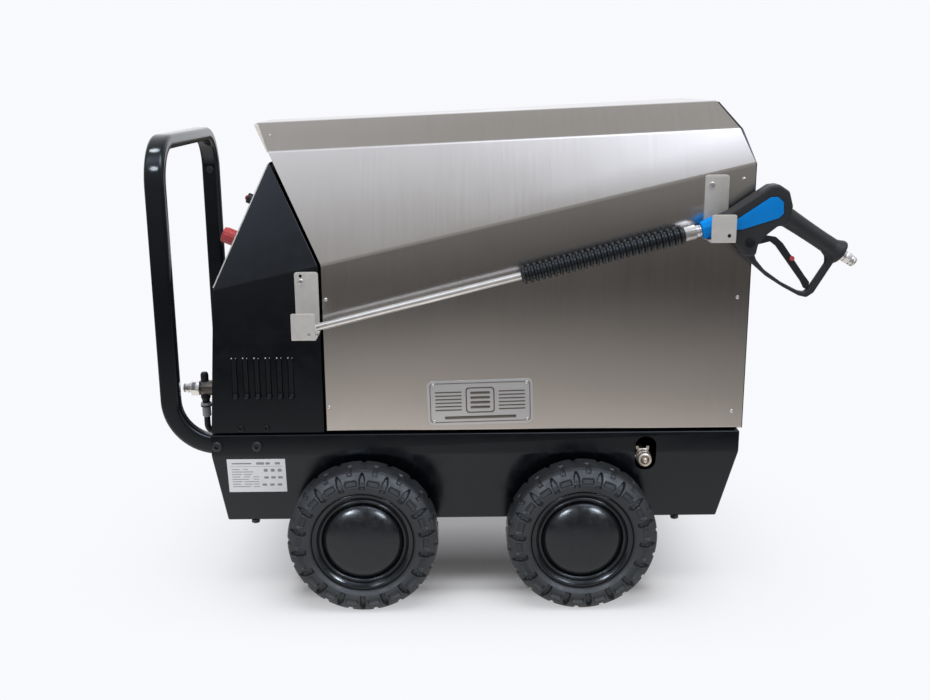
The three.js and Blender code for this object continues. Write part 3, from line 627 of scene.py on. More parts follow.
def build_chassis():
    top = loop(corner("chassis_tray", -1, -1, 1), corner("chassis_tray", 1, -1, 1))
    bend = loop(corner("chassis_tray", -1, -1, -0.15), corner("chassis_tray", 1, -1, -0.15))
    foot = loop(corner("chassis_tray", -1, -1, -1), corner("chassis_tray", 1, -1, -1))
    sole = inset(foot, 12)
    floor = inset(foot, 12, -5)
    panels = [
        *belt(inset(top, 26), top), *belt(top, bend), *belt(bend, foot),
        *belt(foot, sole), *belt(sole, floor), floor,
    ]
    tray = sheet("tray_shell", panels, PAINT_SHEET, TRAY_FOLD, PAINT, ["chassis_tray"])
    end_x = top[0].x
    handle_low, handle_high = box("push_handle")
    leg_y = handle_high.y - HANDLE_TUBE[1] / 2
    leg_z = handle_low.z + HANDLE_TUBE[0] / 2
    door = oblong(HANDLE_TUBE[1] + 1, HANDLE_TUBE[0] + 1.6, 8)
    cuts = [prism(door, (end_x + 30, side * leg_y, leg_z), Y_AXIS, Z_AXIS, -60) for _, side in SIDES]
    cuts.append(prism(oblong(37, 63, 17), INLET_SLOT - Y_AXIS * 200, X_AXIS, Z_AXIS, 60))
    cable_z = box("supply_cable")[0].z + 5.5
    cuts.append(peg(CABLE_HOLE_R, 0, 30, (end_x - 10, OUTLET.y, cable_z), X_AXIS, 24))
    cuts += [peg(AXLE_HOLE_R, -260, 260, (middle(node).x, 0, WHEEL_R), Y_AXIS, 32) for node in AXLES]
    pierced(tray, cuts)
    # A near-black box behind the inlet slot: painted shade, so the slot reads as a deep dark hole.
    pocket = [INLET_SLOT + Vector((u * 30, y, v * 38)) for y in (-222, -170)
              for u, v in ((-1, -1), (1, -1), (1, 1), (-1, 1))]
    sheet("inlet_slot_shade_box", belt(pocket[:4], pocket[4:]) + [pocket[4:]], 1.0, 0.3, PAINTED_SHADE)


# ---------------- wheels



def half_size(node):
    """Half the length, width and height of a CAD node's box."""
    low, high = box(node)
    return (high - low) / 2


WHEEL_R = box("tyre_front_near")[1].z / 2
WHEEL_TURNS = {"front_near": 0.02, "front_far": 0.2, "rear_near": -0.11, "rear_far": 0.31}
WHEEL_MIDS = {name: middle(f"tyre_{name}") for name in WHEEL_TURNS}
HALF_TYRE = half_size("tyre_front_near").y
BEAD_R = half_size("rim_front_near").z
CAP_R = half_size("hub_cap_front_near").z
LUGS = 18
LUG = math.radians(360 / LUGS)
LUG_HEIGHT, POCKET_DEPTH, GROOVE_DEPTH = 6.0, 3.6, 2.6
LUG_FOOT_R = 97
WHEEL_SEGMENTS = 128


def ease(value):
    """0 below nothing, 1 above one, smooth between."""
    t = min(max(value, 0.0), 1.0)
    return t * t * (3 - 2 * t)


def tread_depth(radius, y, angle):
    """How far the tyre's surface lies under its lugs at one place."""
    if y > 0:
        angle += LUG / 2
    from_gap = ((angle + LUG / 2) % LUG - LUG / 2) * radius
    from_middle = (angle % LUG - LUG / 2) * radius
    pointed = 5.8 * math.sqrt(min(1.0, max(0.0, (126.5 - radius) / 13)))
    half_gap = min(pointed, 4.0 + 0.13 * (radius - LUG_FOOT_R))
    gap = LUG_HEIGHT * ease((half_gap - abs(from_gap)) / 1.4) * ease((radius - LUG_FOOT_R) / 1.5)
    pocket = POCKET_DEPTH * ease((10.5 - abs(from_middle)) / 1.5)
    pocket *= ease((radius - 104) / 1.5) * ease((115 - radius) / 1.5)
    groove = GROOVE_DEPTH * ease((4.2 - abs(from_middle)) / 1.4) * ease((radius - 122) / 2)
    return max(gap, pocket, groove)


def tyre_section():
    """Half of the tyre's section as [radius, y], from the bead to the middle of the tread."""
    half = HALF_TYRE
    run = [
        (BEAD_R + 0.6, -half + 11), (BEAD_R + 0.6, -half + 6), (BEAD_R + 4.5, -half + 3.2),
        (LUG_FOOT_R, -half + 1.2), (103, -half), (112, -half + 2.2), (121, -half + 6.5),
        (WHEEL_R - 2.5, -half + 10.5), (WHEEL_R, -half + 16), (WHEEL_R, 0),
    ]
    smooth = rounded([Vector((r, y, 0)) for r, y in run], 6, 4)
    return divided(smooth, 1.8)


def spun(radius, along, angle):
    """A point at some angle round a wheel's axis."""
    return Vector((radius * math.sin(angle), along, radius * math.cos(angle)))


def tyre_mesh():
    half = tyre_section()
    other = [Vector((p.x, -p.y, 0)) for p in reversed(half[:-1])]
    section = half + other
    steps = LUGS * 28
    angles = [2 * math.pi * k / steps for k in range(steps)]
    rows = []
    for i, here in enumerate(section):
        run = heading(section, i)
        row = []
        for angle in angles:
            depth = tread_depth(here.x, here.y, angle)
            row.append(spun(here.x - run.y * depth, here.y + run.x * depth, angle))
        rows.append(row)
    for y in (HALF_TYRE - 11, 11 - HALF_TYRE):
        rows.append([spun(BEAD_R - 3, y, angle) for angle in angles])
    return mesh_of([grid(rows, wrap_rows=True, wrap_columns=True)])


def rim_profile():
    """Outboard is towards negative distances; the run goes round the rim's section and closes on itself."""
    face = -HALF_TYRE + 8
    dish = middle("hub_cap_front_near").y - WHEEL_MIDS["front_near"].y + 10
    run = [
        (BEAD_R, face + 2), (BEAD_R - 1, face), (BEAD_R - 3, face), (82.5, face + 1), (79.5, face + 3),
        (77.6, face + 5.4), (76.6, face + 7), (75.6, face + 4.6), (74, face + 3.4), (72, face + 3.4),
        (70.4, face + 4.8), (69.4, face + 8), (CAP_R + 1.2, dish), (CAP_R - 8, dish + 1), (54, -1), (24, -1),
        (12, dish + 3), (11, dish + 3), (11, 36), (24, 36), (26, 8), (BEAD_R - 8, 6),
        (BEAD_R - 8, -face - 2), (BEAD_R, -face),
    ]
    return rounded_flat(run, 0.9, 3, closed=True)


def cap_profile():
    low, high = box("hub_cap_front_near")
    mid = WHEEL_MIDS["front_near"].y
    top, seat = low.y - mid, high.y - mid
    crown = [(CAP_R * math.cos(a), seat - 3 + (top - seat + 3) * math.sin(a))
             for a in (math.pi / 2 * k / 28 for k in range(29))]
    inner = [(r * 0.95, y + 3) for r, y in reversed(crown)]
    return [*inner, (CAP_R - 3, seat), (CAP_R, seat), *crown]


def rim_mesh():
    angles = [2 * math.pi * k / WHEEL_SEGMENTS for k in range(WHEEL_SEGMENTS)]
    rows = [[spun(radius, along, a) for a in angles] for radius, along in rim_profile()]
    return mesh_of([grid(rows, wrap_rows=True, wrap_columns=True)])


def build_wheels():
    dome = lathe(cap_profile(), (0, 0, 0), Y_AXIS, WHEEL_SEGMENTS)
    shapes = {"tyre": (tyre_mesh(), RUBBER), "rim": (rim_mesh(), RIM), "hub_cap": (mesh_of([dome]), CAP)}
    for part, (bm, look) in shapes.items():
        first = link(f"{part}_master", bm, look[1], 32)
        for name, centre in WHEEL_MIDS.items():
            obj = placed(bpy.data.objects.new(f"{part}_{name}_detail", first.data.copy()))
            facing = Matrix.Rotation(math.pi if centre.y > 0 else 0.0, 4, "Z")
            turn = Matrix.Rotation(WHEEL_TURNS[name], 4, "Y")
            obj.data.transform(Matrix.Translation(centre * MM) @ facing @ turn)
            settle(obj, f"wheel_{name}", [f"{part}_{name}"])
        bpy.data.objects.remove(first)


def build_axles():
    saddle = oblong(60, 50, 4)
    for name in AXLES:
        low, high = box(name)
        x = middle(name).x
        rod = softened([(10, low.y), (10, high.y)], 1.5)
        parts = [lathe(rod, (x, 0, WHEEL_R), Y_AXIS, 40)]
        for _, side in SIDES:
            parts.append(prism(saddle, (x, side * 130, WHEEL_R), X_AXIS, Y_AXIS, high.z - WHEEL_R))
        piece(f"{name}_rod", parts, BRIGHT, replaces=[name], bevel=0.6)


# ---------------- fasteners


def socket_screw(centre, axis, radius, height, socket, segments=42):
    """A domed head with a six-sided socket, its underside at the centre given."""
    centre, axis = Vector(centre), Vector(axis).normalized()
    side, up = basis(axis)
    key = socket / math.cos(math.radians(30))
    deep = height * 0.3
    brim = 0.05 * radius
    dome = [(radius, 0.0), (radius, height * 0.25)]
    for k in range(1, 8):
        a = math.radians(78) * k / 7
        dome.append((key + brim + (radius - key - brim) * math.cos(a), height * (0.25 + 0.75 * math.sin(a))))
    rings = [(0, 0.0, False), *[(r, a, False) for r, a in dome]]
    rings += [(key, height * 0.97, True), (key, deep, True), (0, deep, False)]
    rows = []
    for ring_radius, along, six_sided in rings:
        row = []
        for k in range(segments):
            a = 2 * math.pi * k / segments
            flat = math.cos(math.radians(30)) / math.cos((a % math.radians(60)) - math.radians(30))
            r = ring_radius * (flat if six_sided else 1)
            row.append(centre + axis * along + (side * math.cos(a) + up * math.sin(a)) * r)
        rows.append(row)
    return grid(rows, wrap_columns=True)


def screw(name, centre, axis, radius, height, socket, look, replaces=()):
    head = socket_screw(centre, axis, radius, height, socket)
    piece(name, [head], look, replaces=replaces, smooth=40)


def dome_head(centre, axis, radius, height, segments=28):
    run = [(0, -0.4), (radius, -0.4), (radius, 0.15)]
    for k in range(1, 8):
        a = math.pi / 2 * k / 7
        run.append((radius * math.cos(a), 0.15 + height * math.sin(a)))
    return lathe(run, centre, axis, segments)


def washer(centre, axis, inner, outer, thickness):
    return turned([(inner, 0), (outer, 0), (outer, thickness), (inner, thickness)], centre, axis, 40)


def build_handle_screws():
    side_y = -corner("chassis_tray", -1, -1, 1).y
    for side_name, side in SIDES:
        for place in ("outer", "inner"):
            node = f"handle_screw_{side_name}_{place}"
            mid = middle(node)
            seat = (mid.x, side * side_y, mid.z)
            head = socket_screw(seat, (0, side, 0), 9.4, 5.4, 3.3)
            shank = peg(5, 0, -12, seat, (0, side, 0), 24)
            piece(f"{node}_head", [head, shank], HANDLE_SCREW, replaces=[node], smooth=40)


# ---------------- push handle

FOOT_BEND, TOP_BEND = 80, 70
PLUG_DROP = 74  # from the top bar's middle down to the plugs in the legs


def build_handle():
    low, high = box("push_handle")
    long, short = HANDLE_TUBE
    x = low.x + long / 2
    y = high.y - short / 2
    root_z, top_z = low.z + long / 2, high.z - long / 2
    leg = [Vector((high.x, -y, root_z)), Vector((x, -y, root_z)), Vector((x, -y, top_z))]
    path = [*leg, *[far(p) for p in reversed(leg)]]
    run = [path[0]]
    for i, radius in enumerate((FOOT_BEND, TOP_BEND, TOP_BEND, FOOT_BEND), start=1):
        run += rounded(path[i - 1:i + 2], radius, 16)[1:-1]
    run.append(path[-1])
    rows = []
    section = oblong(long, short, 7.5, 7)
    for i, here in enumerate(run):
        forward = heading(run, i)
        across = handle_across(here, forward)
        wide = across.cross(forward).normalized()
        rows.append([here + wide * u + across * v for u, v in section])
    piece("handle_tube", [tube(rows)], GLOSS, replaces=["push_handle"], smooth=50)
    plug = softened([(7.2, 0), (7.2, 1.2), (5, 2.6)], 0.6)
    for name, side in SIDES:
        seat = (x, side * (y - short / 2), top_z - PLUG_DROP)
        piece(f"handle_plug_{name}", [lathe(plug, seat, (0, -side, 0), 32)], PLASTIC)


def handle_across(here, forward):
    """The thin direction of the tube: across the machine in the legs, turning upright along the top bar."""
    if abs(forward.x) > 1e-4:
        return Vector((0, math.copysign(1, here.y), 0))
    return forward.cross(Vector((-1, 0, 0)))


# ---------------- hood and rear panel

HOOD_FLANGE = Vector((0, 14, 0))
RETURN_AT_RIDGE = Vector((-6.5, 0, -4.5))
RETURN_AT_SHOULDER = Vector((-1.5, 0, -1.2))
LOUVRE_COUNT = 6
LOUVRE_PITCH = 19.35
LOUVRE_WIDE, LOUVRE_TALL, LOUVRE_RISE = 10.6, 75, 4.4


def hood_corners(node):
    """Near corners of the hood's outline at its left and right ends, from the foot to the ridge."""
    left = [corner(node, -0.1, -1, -0.5), corner(node, -0.2, -1, 0.1), corner(node, -0.3, -0.78, 0.55),
            corner(node, -0.3, -0.3, 1)]
    right = [corner(node, 1, -1, -1), corner(node, 0.5, -1, 0.3), corner(node, 0.2, -0.78, 0.6),
             corner(node, 0.2, -0.3, 1)]
    return left, right


def build_hood():
    left, right = hood_corners("hood")
    _, _, shoulder, ridge = left
    left = [left[0] + HOOD_FLANGE, *left]
    right = [right[0] + HOOD_FLANGE, *right]
    left += [far(p) for p in reversed(left)]
    right += [far(p) for p in reversed(right)]
    panels = [[left[i], right[i], right[i + 1], left[i + 1]] for i in range(len(left) - 1)]
    sheet("hood_skin", panels, 1.5, 3.2, STEEL, ["hood"], 6, 60)
    build_hood_end(shoulder, ridge)


def build_hood_end(shoulder, ridge):
    """The narrow strip turned down at the slanted end, and a rivet on each side of the ridge."""
    high_edge, low_edge = ridge + RETURN_AT_RIDGE, shoulder + RETURN_AT_SHOULDER
    strips = [[shoulder, ridge, high_edge, low_edge], [ridge, far(ridge), far(high_edge), high_edge]]
    strips.append([far(p) for p in strips[0]])
    sheet("hood_end_return", strips, 1.2, 0.3, HOOK, smooth=60)
    normal = X_AXIS.cross(ridge - shoulder).normalized()
    seat = ridge.lerp(shoulder, 0.44) + X_AXIS * 14 + normal * 0.6
    piece("hood_rivet_near", [dome_head(seat, normal, 1.9, 1.0)], BRIGHT)
    piece("hood_rivet_far", [dome_head(far(seat), far(normal), 1.9, 1.0)], BRIGHT)


def build_rear_panel():
    _, right = hood_corners("rear_panel")
    proud, back = Vector((3.2, 0, 0)), Vector((-6, 0, 0))
    levels = [p + proud for p in right]
    rim = levels + [far(p) for p in reversed(levels)]
    panels = [[levels[i], far(levels[i]), far(levels[i + 1]), levels[i + 1]] for i in range(3)]
    panels += [[a, b, b + back, a + back] for a, b in zip(rim, rim[1:])]
    sheet("rear_cover", panels, 2.0, 1.0, PAINT, ["rear_panel"], smooth=60)
    face = levels[0].x
    columns = [side * (60 + LOUVRE_PITCH * k) for _, side in SIDES for k in range(LOUVRE_COUNT)]
    louvres("rear_louvres", [Vector((face, y, 430)) for y in columns], Y_AXIS, X_AXIS)
    for y in (-200, 0, 200):
        for z in (330, 720):
            name = f"rear_screw_{y}_{z}".replace("-", "m")
            screw(name, (face, y, z), X_AXIS, 5.6, 2.9, 1.9, BLACK_SCREW)


def louvre(centre, across, outward):
    """A pressed hood over a vent slot, cut open at the top end and domed at the lower one."""
    rows = []
    for i in range(41):
        v = -1 + i / 20
        top = ease((1 - v) / 0.05)
        foot = math.sqrt(max(0.0, 1 - max(0.0, (-0.80 - v) / 0.2) ** 2))
        swell = 1 + 0.75 * math.exp(-(((v + 0.84) / 0.11) ** 2))
        spread = LOUVRE_WIDE / 2 * (1 + 0.35 * (swell - 1)) * (0.4 + 0.6 * foot)
        row = []
        for k in range(13):
            u = -1 + k / 6
            bulge = max(0.0, 1 - abs(u) ** 2.6)
            rise = LOUVRE_RISE * swell * top * foot * bulge - 0.3
            row.append(centre + across * (u * spread) + Z_AXIS * (v * LOUVRE_TALL / 2) + outward * rise)
        floor = [p - outward * ((p - centre).dot(outward) + 0.8) for p in (row[-1], row[0])]
        rows.append(row + floor)
    return tube(rows)


def louvres(name, centres, across, outward):
    """A row of pressed hoods, with small bright domes at their top ends as painted highlights."""
    # bright metal specks where the hoods' top ends catch light: painted highlights
    highlight_domes = []
    for centre in centres:
        for side, radius, height in ((-1, 1.425, 0.95), (1, 0.825, 0.55)):
            spot = centre + across * (side * 3.4) + Z_AXIS * (LOUVRE_TALL / 2 - 0.5) + outward * 0.6
            highlight_domes.append(dome_head(spot, outward, radius, height, 16))
    piece(name, [louvre(centre, across, outward) for centre in centres], PAINT, smooth=45)
    piece(f"{name}_painted_highlights", highlight_domes, BRIGHT)


# ---------------- console

CONSOLE_LOUVRE_X = -457.65  # the first of the row
CONSOLE_SCREW_X = (-452.35, -407.65)


def console_corners():
    node = "console_housing"
    return {
        "foot": corner(node, -1, -1, -1),
        "heel": corner(node, 1, -1, -1),
        "crease": corner(node, 0.6, -1, 0.3),
        "knee": corner(node, -1, -1, 0.3),
        "apex": corner(node, -0.3, -1, 0.6),
    }


def build_console():
    c = console_corners()
    turn = Vector((0, 11, -5))
    near_side = [
        [c["foot"], c["heel"], c["crease"], c["knee"]],
        [c["knee"], c["crease"], c["apex"]],
        [c["heel"], c["heel"] + turn, c["crease"] + turn, c["crease"]],
        [c["crease"], c["crease"] + turn, c["apex"] + turn, c["apex"]],
    ]
    panels = near_side + [[far(p) for p in panel] for panel in near_side]
    panels.append([c["foot"], c["knee"], far(c["knee"]), far(c["foot"])])
    panels.append([c["knee"], c["apex"], far(c["apex"]), far(c["knee"])])
    sheet("console_skin", panels, 2.0, 1.5, PAINT, ["console_housing"], smooth=50)

    top = corner("console_housing", -0.3, -0.2, 1)
    low = c["apex"] + Vector((6.5, 9.5, -16))
    sheet("console_mouth", [[low, far(low), far(top), top]], 2.0, 0.5, PAINT)

    # A near-black strip behind the console's rear joint: painted shade of the closed inside.
    gap = [c["heel"] + Y_AXIS * 9, c["crease"] + Y_AXIS * 9]
    gap += [p + X_AXIS * 14 for p in reversed(gap)]
    sheet("console_seam_shade", [gap, [far(p) for p in gap]], 1.0, 0.2, PAINTED_SHADE)

    foot = c["foot"]
    columns = [CONSOLE_LOUVRE_X + LOUVRE_PITCH * k for k in range(LOUVRE_COUNT)]
    for name, side in SIDES:
        centres = [Vector((x, -side * foot.y, foot.z + 97)) for x in columns]
        louvres(f"console_louvres_{name}", centres, X_AXIS, Y_AXIS * side)
        for k, x in enumerate(CONSOLE_SCREW_X):
            seat = (x, -side * foot.y, foot.z + 8)
            screw(f"console_screw_{name}_{k}", seat, (0, side, 0), 6.4, 3.6, 2.2, BLACK_SCREW)


def build_control_panel():
    dressed("control_panel", PLATE, 0.6)
    c = console_corners()
    run = c["apex"] - c["knee"]
    run.y = 0
    out = Vector((-run.z, 0, run.x)).normalized()
    up = run.normalized()
    build_knob(out, up)
    build_lamp(out)


def reach(node, axis):
    """Lowest and highest distance of a node's points along an axis."""
    spots = [(v.co / MM).dot(axis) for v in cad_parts[node].data.vertices]
    return min(spots), max(spots)


def axis_start(node, axis):
    """The point on a turned node's own axis where it begins, and its length."""
    low, high = reach(node, axis)
    mid = middle(node)
    return mid + axis * (low - mid.dot(axis)), high - low


def build_knob(out, up):
    """A fluted knob with a mark on its face, over a dial ring with ticks."""
    start, length = axis_start("main_switch_knob", out)
    across = out.cross(up)
    flutes, flute_depth, steps = 16, 0.75, 144
    profile = [(0, 0), (14, 0), (14, length * 0.75), (12.2, length), (0, length)]
    rows = []
    for radius, along in rounded_flat(profile, 1.4, 4):
        cut = flute_depth if 0.12 * length < along < 0.97 * length else 0.0
        row = []
        for k in range(steps):
            a = 2 * math.pi * k / steps
            r = max(radius - cut * max(0.0, math.cos(a * flutes)), 0)
            row.append(start + out * along + (up * math.cos(a) + across * math.sin(a)) * r)
        rows.append(row)
    piece("main_switch_grip", [grid(rows, wrap_columns=True)], RED, "switch", ["main_switch_knob"], smooth=40)
    mark = prism(oblong(2, 9, 0.9), start + out * (length - 0.4) + up * 5.5, across, up, -0.9)
    piece("main_switch_mark", [mark], FILM, "switch")
    collar = softened([(17.5, 0), (17.5, 1.4), (15, 2.0)], 0.4)
    base = start - out * 0.3
    dial = [lathe(collar, base, out, 64)]
    for k in range(7):
        a = math.radians(-45 + 30 * k)
        radial = up * math.cos(a) + across * math.sin(a)
        dial.append(prism(oblong(1.2, 5, 0.5), base + radial * 22, radial.cross(out), radial, 0.5))
    piece("main_switch_dial", dial, PLASTIC)


def build_lamp(out):
    start, length = axis_start("lamp_shroud", out)
    wall = [(5.4, 0), (9, 0), (9, length - 1), (8.2, length), (5.8, length), (5.4, length - 1)]
    piece("lamp_bezel", [turned(wall, start, out, 48)], PLASTIC, replaces=["lamp_shroud"])
    start, length = axis_start("pilot_lamp", out)
    radius, rise = 4.8, 4.5
    dome = [(0, 0), (radius, 0)]
    for k in range(9):
        a = math.pi / 2 * k / 8
        dome.append((radius * math.cos(a), length - rise + rise * math.sin(a)))
    piece("lamp_lens", [lathe(dome, start, out, 48)], LENS, replaces=["pilot_lamp"])


# ---------------- outlet, cable and inlet


def build_outlet():
    toward = -X_AXIS
    y, z = OUTLET.y, OUTLET.z
    branch_x = middle("cable_gland").x
    root = Vector((corner("outlet_nut", 1, 0, 0).x + 40, y, z))
    length = root.x - box("outlet_block")[0].x
    body = softened([(14, 0), (14, length - 4), (11, length)], 1.2)
    piece("outlet_body", [lathe(body, root, toward, 8, math.radians(22.5))], DARK_STEEL,
          replaces=["outlet_block"], bevel=0.9, smooth=30)
    cap = softened([(7, 0), (7, 16), (5.2, 20)], 1.2)
    elbow = softened([(8.6, 0), (8.6, 9), (7, 12), (6.6, 18)], 1.2)
    piece("outlet_cap", [lathe(cap, (branch_x, y, z + 9), Z_AXIS, 32)], PLASTIC)
    piece("outlet_elbow", [lathe(elbow, (branch_x, y, z - 9), -Z_AXIS, 32)], PLASTIC)

    start, length = axis_start("outlet_nut", toward)
    nut = [(9.6, 0), (13, 0), (14.5, 1.2), (14.5, length - 1.2), (13, length), (9.6, length)]
    nut = turned(nut, start, toward, 6)
    piece("outlet_hex", [nut], BRIGHT, replaces=["outlet_nut"], bevel=0.8, smooth=25)
    start, length = axis_start("outlet_nipple", toward)
    tail = [(5, 0), (8.8, 0), (8.8, 14), (7.4, 15), (7.4, 18), (8.8, 19.5), (8.8, 23), (7.4, 24.5), (7.4, 26),
            (8.6, length - 2), (7.6, length), (5, length)]
    piece("outlet_spigot", [turned(tail, start, toward, 48)], BRIGHT, replaces=["outlet_nipple"])


def build_cable():
    y, down = OUTLET.y, -Z_AXIS
    start, length = axis_start("cable_gland", down)
    gland = softened([(9.5, 0), (9.5, 5), (7.6, 7), (7.8, length - 2), (6.4, length)], 0.8)
    piece("cable_gland_body", [lathe(gland, start, down, 40)], GREY, replaces=["cable_gland"])
    piece("cable_gland_ring", [washer(start + down * 4.6, down, 7, 9.9, 2.2)], PLASTIC)
    low, high = box("supply_cable")
    radius = (high.y - low.y) / 2
    top = Vector((start.x, y, high.z))
    turn = Vector((start.x, y, low.z + radius))
    path = rounded([top, turn, Vector((high.x, y, turn.z))], 16, 12)
    piece("cable_sheath", [sweep(path, ring(radius), Y_AXIS)], PLASTIC, replaces=["supply_cable"], smooth=60)


def build_inlet():
    toward = -Y_AXIS
    start, length = axis_start("water_inlet", toward)
    hex_at = length - 44
    pipe = softened([(9, 0), (9, hex_at)], 0.5)
    collar = softened([(15, 0), (15, 10)], 1.4)
    barrel = [(11.4, 0), (12.4, 2), (12.4, 10), (10.6, 12.5), (10.6, 14), (12.4, 16.5), (12.8, 20),
              (11.6, 24), (9.6, 25.6), (7.6, 24.6), (7, 22)]
    barrel = rounded_flat([(r, hex_at + 9 + a) for r, a in barrel], 1.2, 3, closed=True)
    parts = [lathe(pipe, start, toward, 32), turned(barrel, start, toward, 48)]
    piece("inlet_barrel", parts, NICKEL, replaces=["water_inlet"], smooth=40)
    piece("inlet_hex", [lathe(collar, start + toward * hex_at, toward, 6)], NICKEL, bevel=0.9, smooth=25)
    for k, side in enumerate((-1, 1)):
        ear = rounded_flat([(-3.4, -5), (2.4, -5), (3.4, 1.8), (-1.2, 1.8)], 0.6, 3, closed=True)
        ear = [(side * u, v) for u, v in ear][::side]
        spot = start + toward * (hex_at + 4) + Vector((side * 8.5, 0, 14.8))
        piece(f"inlet_ear_{k}", [prism(ear, spot, X_AXIS, Z_AXIS, 2.0)], NICKEL, bevel=0.3)
    start, length = axis_start("inlet_strainer", toward)
    cone = softened([(6.6, 0), (6.2, 3), (3.2, length)], 0.6)
    piece("inlet_filter", [lathe(cone, start, toward, 32)], NICKEL, replaces=["inlet_strainer"])
    # The strainer's wires are real; their near-black finish is painted shade inside the fitting's mouth.
    mesh = [washer(start + toward * (length * 0.55), toward, 3.9, 4.7, 0.8)]
    for k in range(6):
        a = math.pi * k / 6
        run = Vector((math.cos(a), 0, math.sin(a)))
        spot = start + toward * (length * 0.62)
        mesh.append(prism(oblong(9.6, 0.8, 0.3), spot, run, run.cross(toward), -0.9))
    piece("inlet_filter_mesh", mesh, PAINTED_SHADE)


# ---------------- plates


def build_nameplate():
    """A blank plate with plain raised bars in place of a badge."""
    low, high = box("nameplate")
    mid = (low + high) / 2
    tilt = math.radians(1.3)
    u = Vector((math.cos(tilt), 0, math.sin(tilt)))
    v = Vector((-math.sin(tilt), 0, math.cos(tilt)))
    back = Vector((mid.x, high.y, mid.z))
    face = Vector((mid.x, low.y, mid.z))
    width, height = 183, 80
    plate = prism(oblong(width, height, 9, 8), back, u, v, high.y - low.y)
    piece("nameplate_blank", [plate], PLATE, replaces=["nameplate"], bevel=0.35)
    rim_out, rim_in = oblong(width - 9, height - 9, 6, 8), oblong(width - 11.5, height - 11.5, 5, 8)
    raised = [frame_strip(rim_out, rim_in, face, u, v, 0.5)]
    for k in range(6):
        for side in (-1, 1):
            spot = face + u * (side * 55) + v * (19 - 6.4 * k)
            raised.append(prism(oblong(46, 2.2, 1.0), spot, u, v, 0.45))
    raised.append(frame_strip(oblong(50, 46, 6, 8), oblong(46, 42, 5, 8), face + v * 4, u, v, 0.55))
    for k in range(4):
        spot = face + v * (17 - 8.6 * k)
        raised.append(prism(oblong(34, 4.4, 1.4), spot, u, v, 0.55))
    raised.append(prism(oblong(124, 5, 1.4), face - v * 27, u, v, 0.5))
    piece("nameplate_relief", raised, DARK_STEEL, bevel=0.12, segments=2)
    for du in (-1, 1):
        for dv in (-1, 1):
            spot = face + u * (du * (width / 2 - 10.5)) + v * (dv * (height / 2 - 7))
            head = dome_head(spot, -Y_AXIS, 2.9, 1.5)
            piece(f"nameplate_rivet_{'lr'[du > 0]}{'bt'[dv > 0]}", [head], BRIGHT)


def frame_strip(outer, inner, origin, u, v, height):
    """A raised closed band between two outlines with the same number of points."""
    lift = u.cross(v) * height
    rows = []
    for outline, up in ((outer, 0), (outer, 1), (inner, 1), (inner, 0)):
        rows.append([origin + u * a + v * b + lift * up for a, b in outline])
    return grid(rows, wrap_rows=True, wrap_columns=True)


def build_rating_plate():
    """A film with plain bars and blocks in place of print."""
    dressed("rating_plate", FILM, 0)
    low, high = box("rating_plate")
    top = corner("rating_plate", -1, -0.4, 1)
    bottom = corner("rating_plate", -1, -1, -0.6)
    width = high.x - low.x
    u = X_AXIS
    v = Vector((0, top.y - bottom.y, top.z - bottom.z))
    height = v.length
    v.normalize()
    origin = Vector((low.x, bottom.y, bottom.z)) + u.cross(v) * 0.02
    lines = []

    def bar(x, z, wide, tall):
        spot = origin + u * ((x + wide / 2) * width) + v * (z * height)
        lines.append(prism(oblong(wide * width, tall, tall * 0.3, 2), spot, u, v, 0.12))

    bar(0.08, 0.87, 0.34, 2.6)
    for k, wide in enumerate((0.2, 0.11, 0.13)):
        bar(0.5 + 0.16 * k, 0.87, wide * 0.7, 4.6)
    bar(0.05, 0.78, 0.9, 0.5)
    for k in range(8):
        z = 0.69 - 0.075 * k
        bar(0.07, z, 0.14 + 0.03 * ((k * 5) % 3), 1.3)
        bar(0.27, z, 0.08 + 0.03 * ((k * 7) % 4), 1.3)
        if k > 2:
            bar(0.43, z, 0.1, 1.1)
    for k in range(3):
        bar(0.62 + 0.12 * k, 0.66, 0.07, 6)
        bar(0.62 + 0.12 * k, 0.44, 0.08, 4.5)
        bar(0.58 + 0.13 * k, 0.22, 0.08, 4.5)
    piece("rating_print", lines, INK)


# ---------------- hooks that carry the lance

HOOK_SHEET, HOOK_LIP = 3.0, 46.0  # the sheet's thickness and the height of the front lip


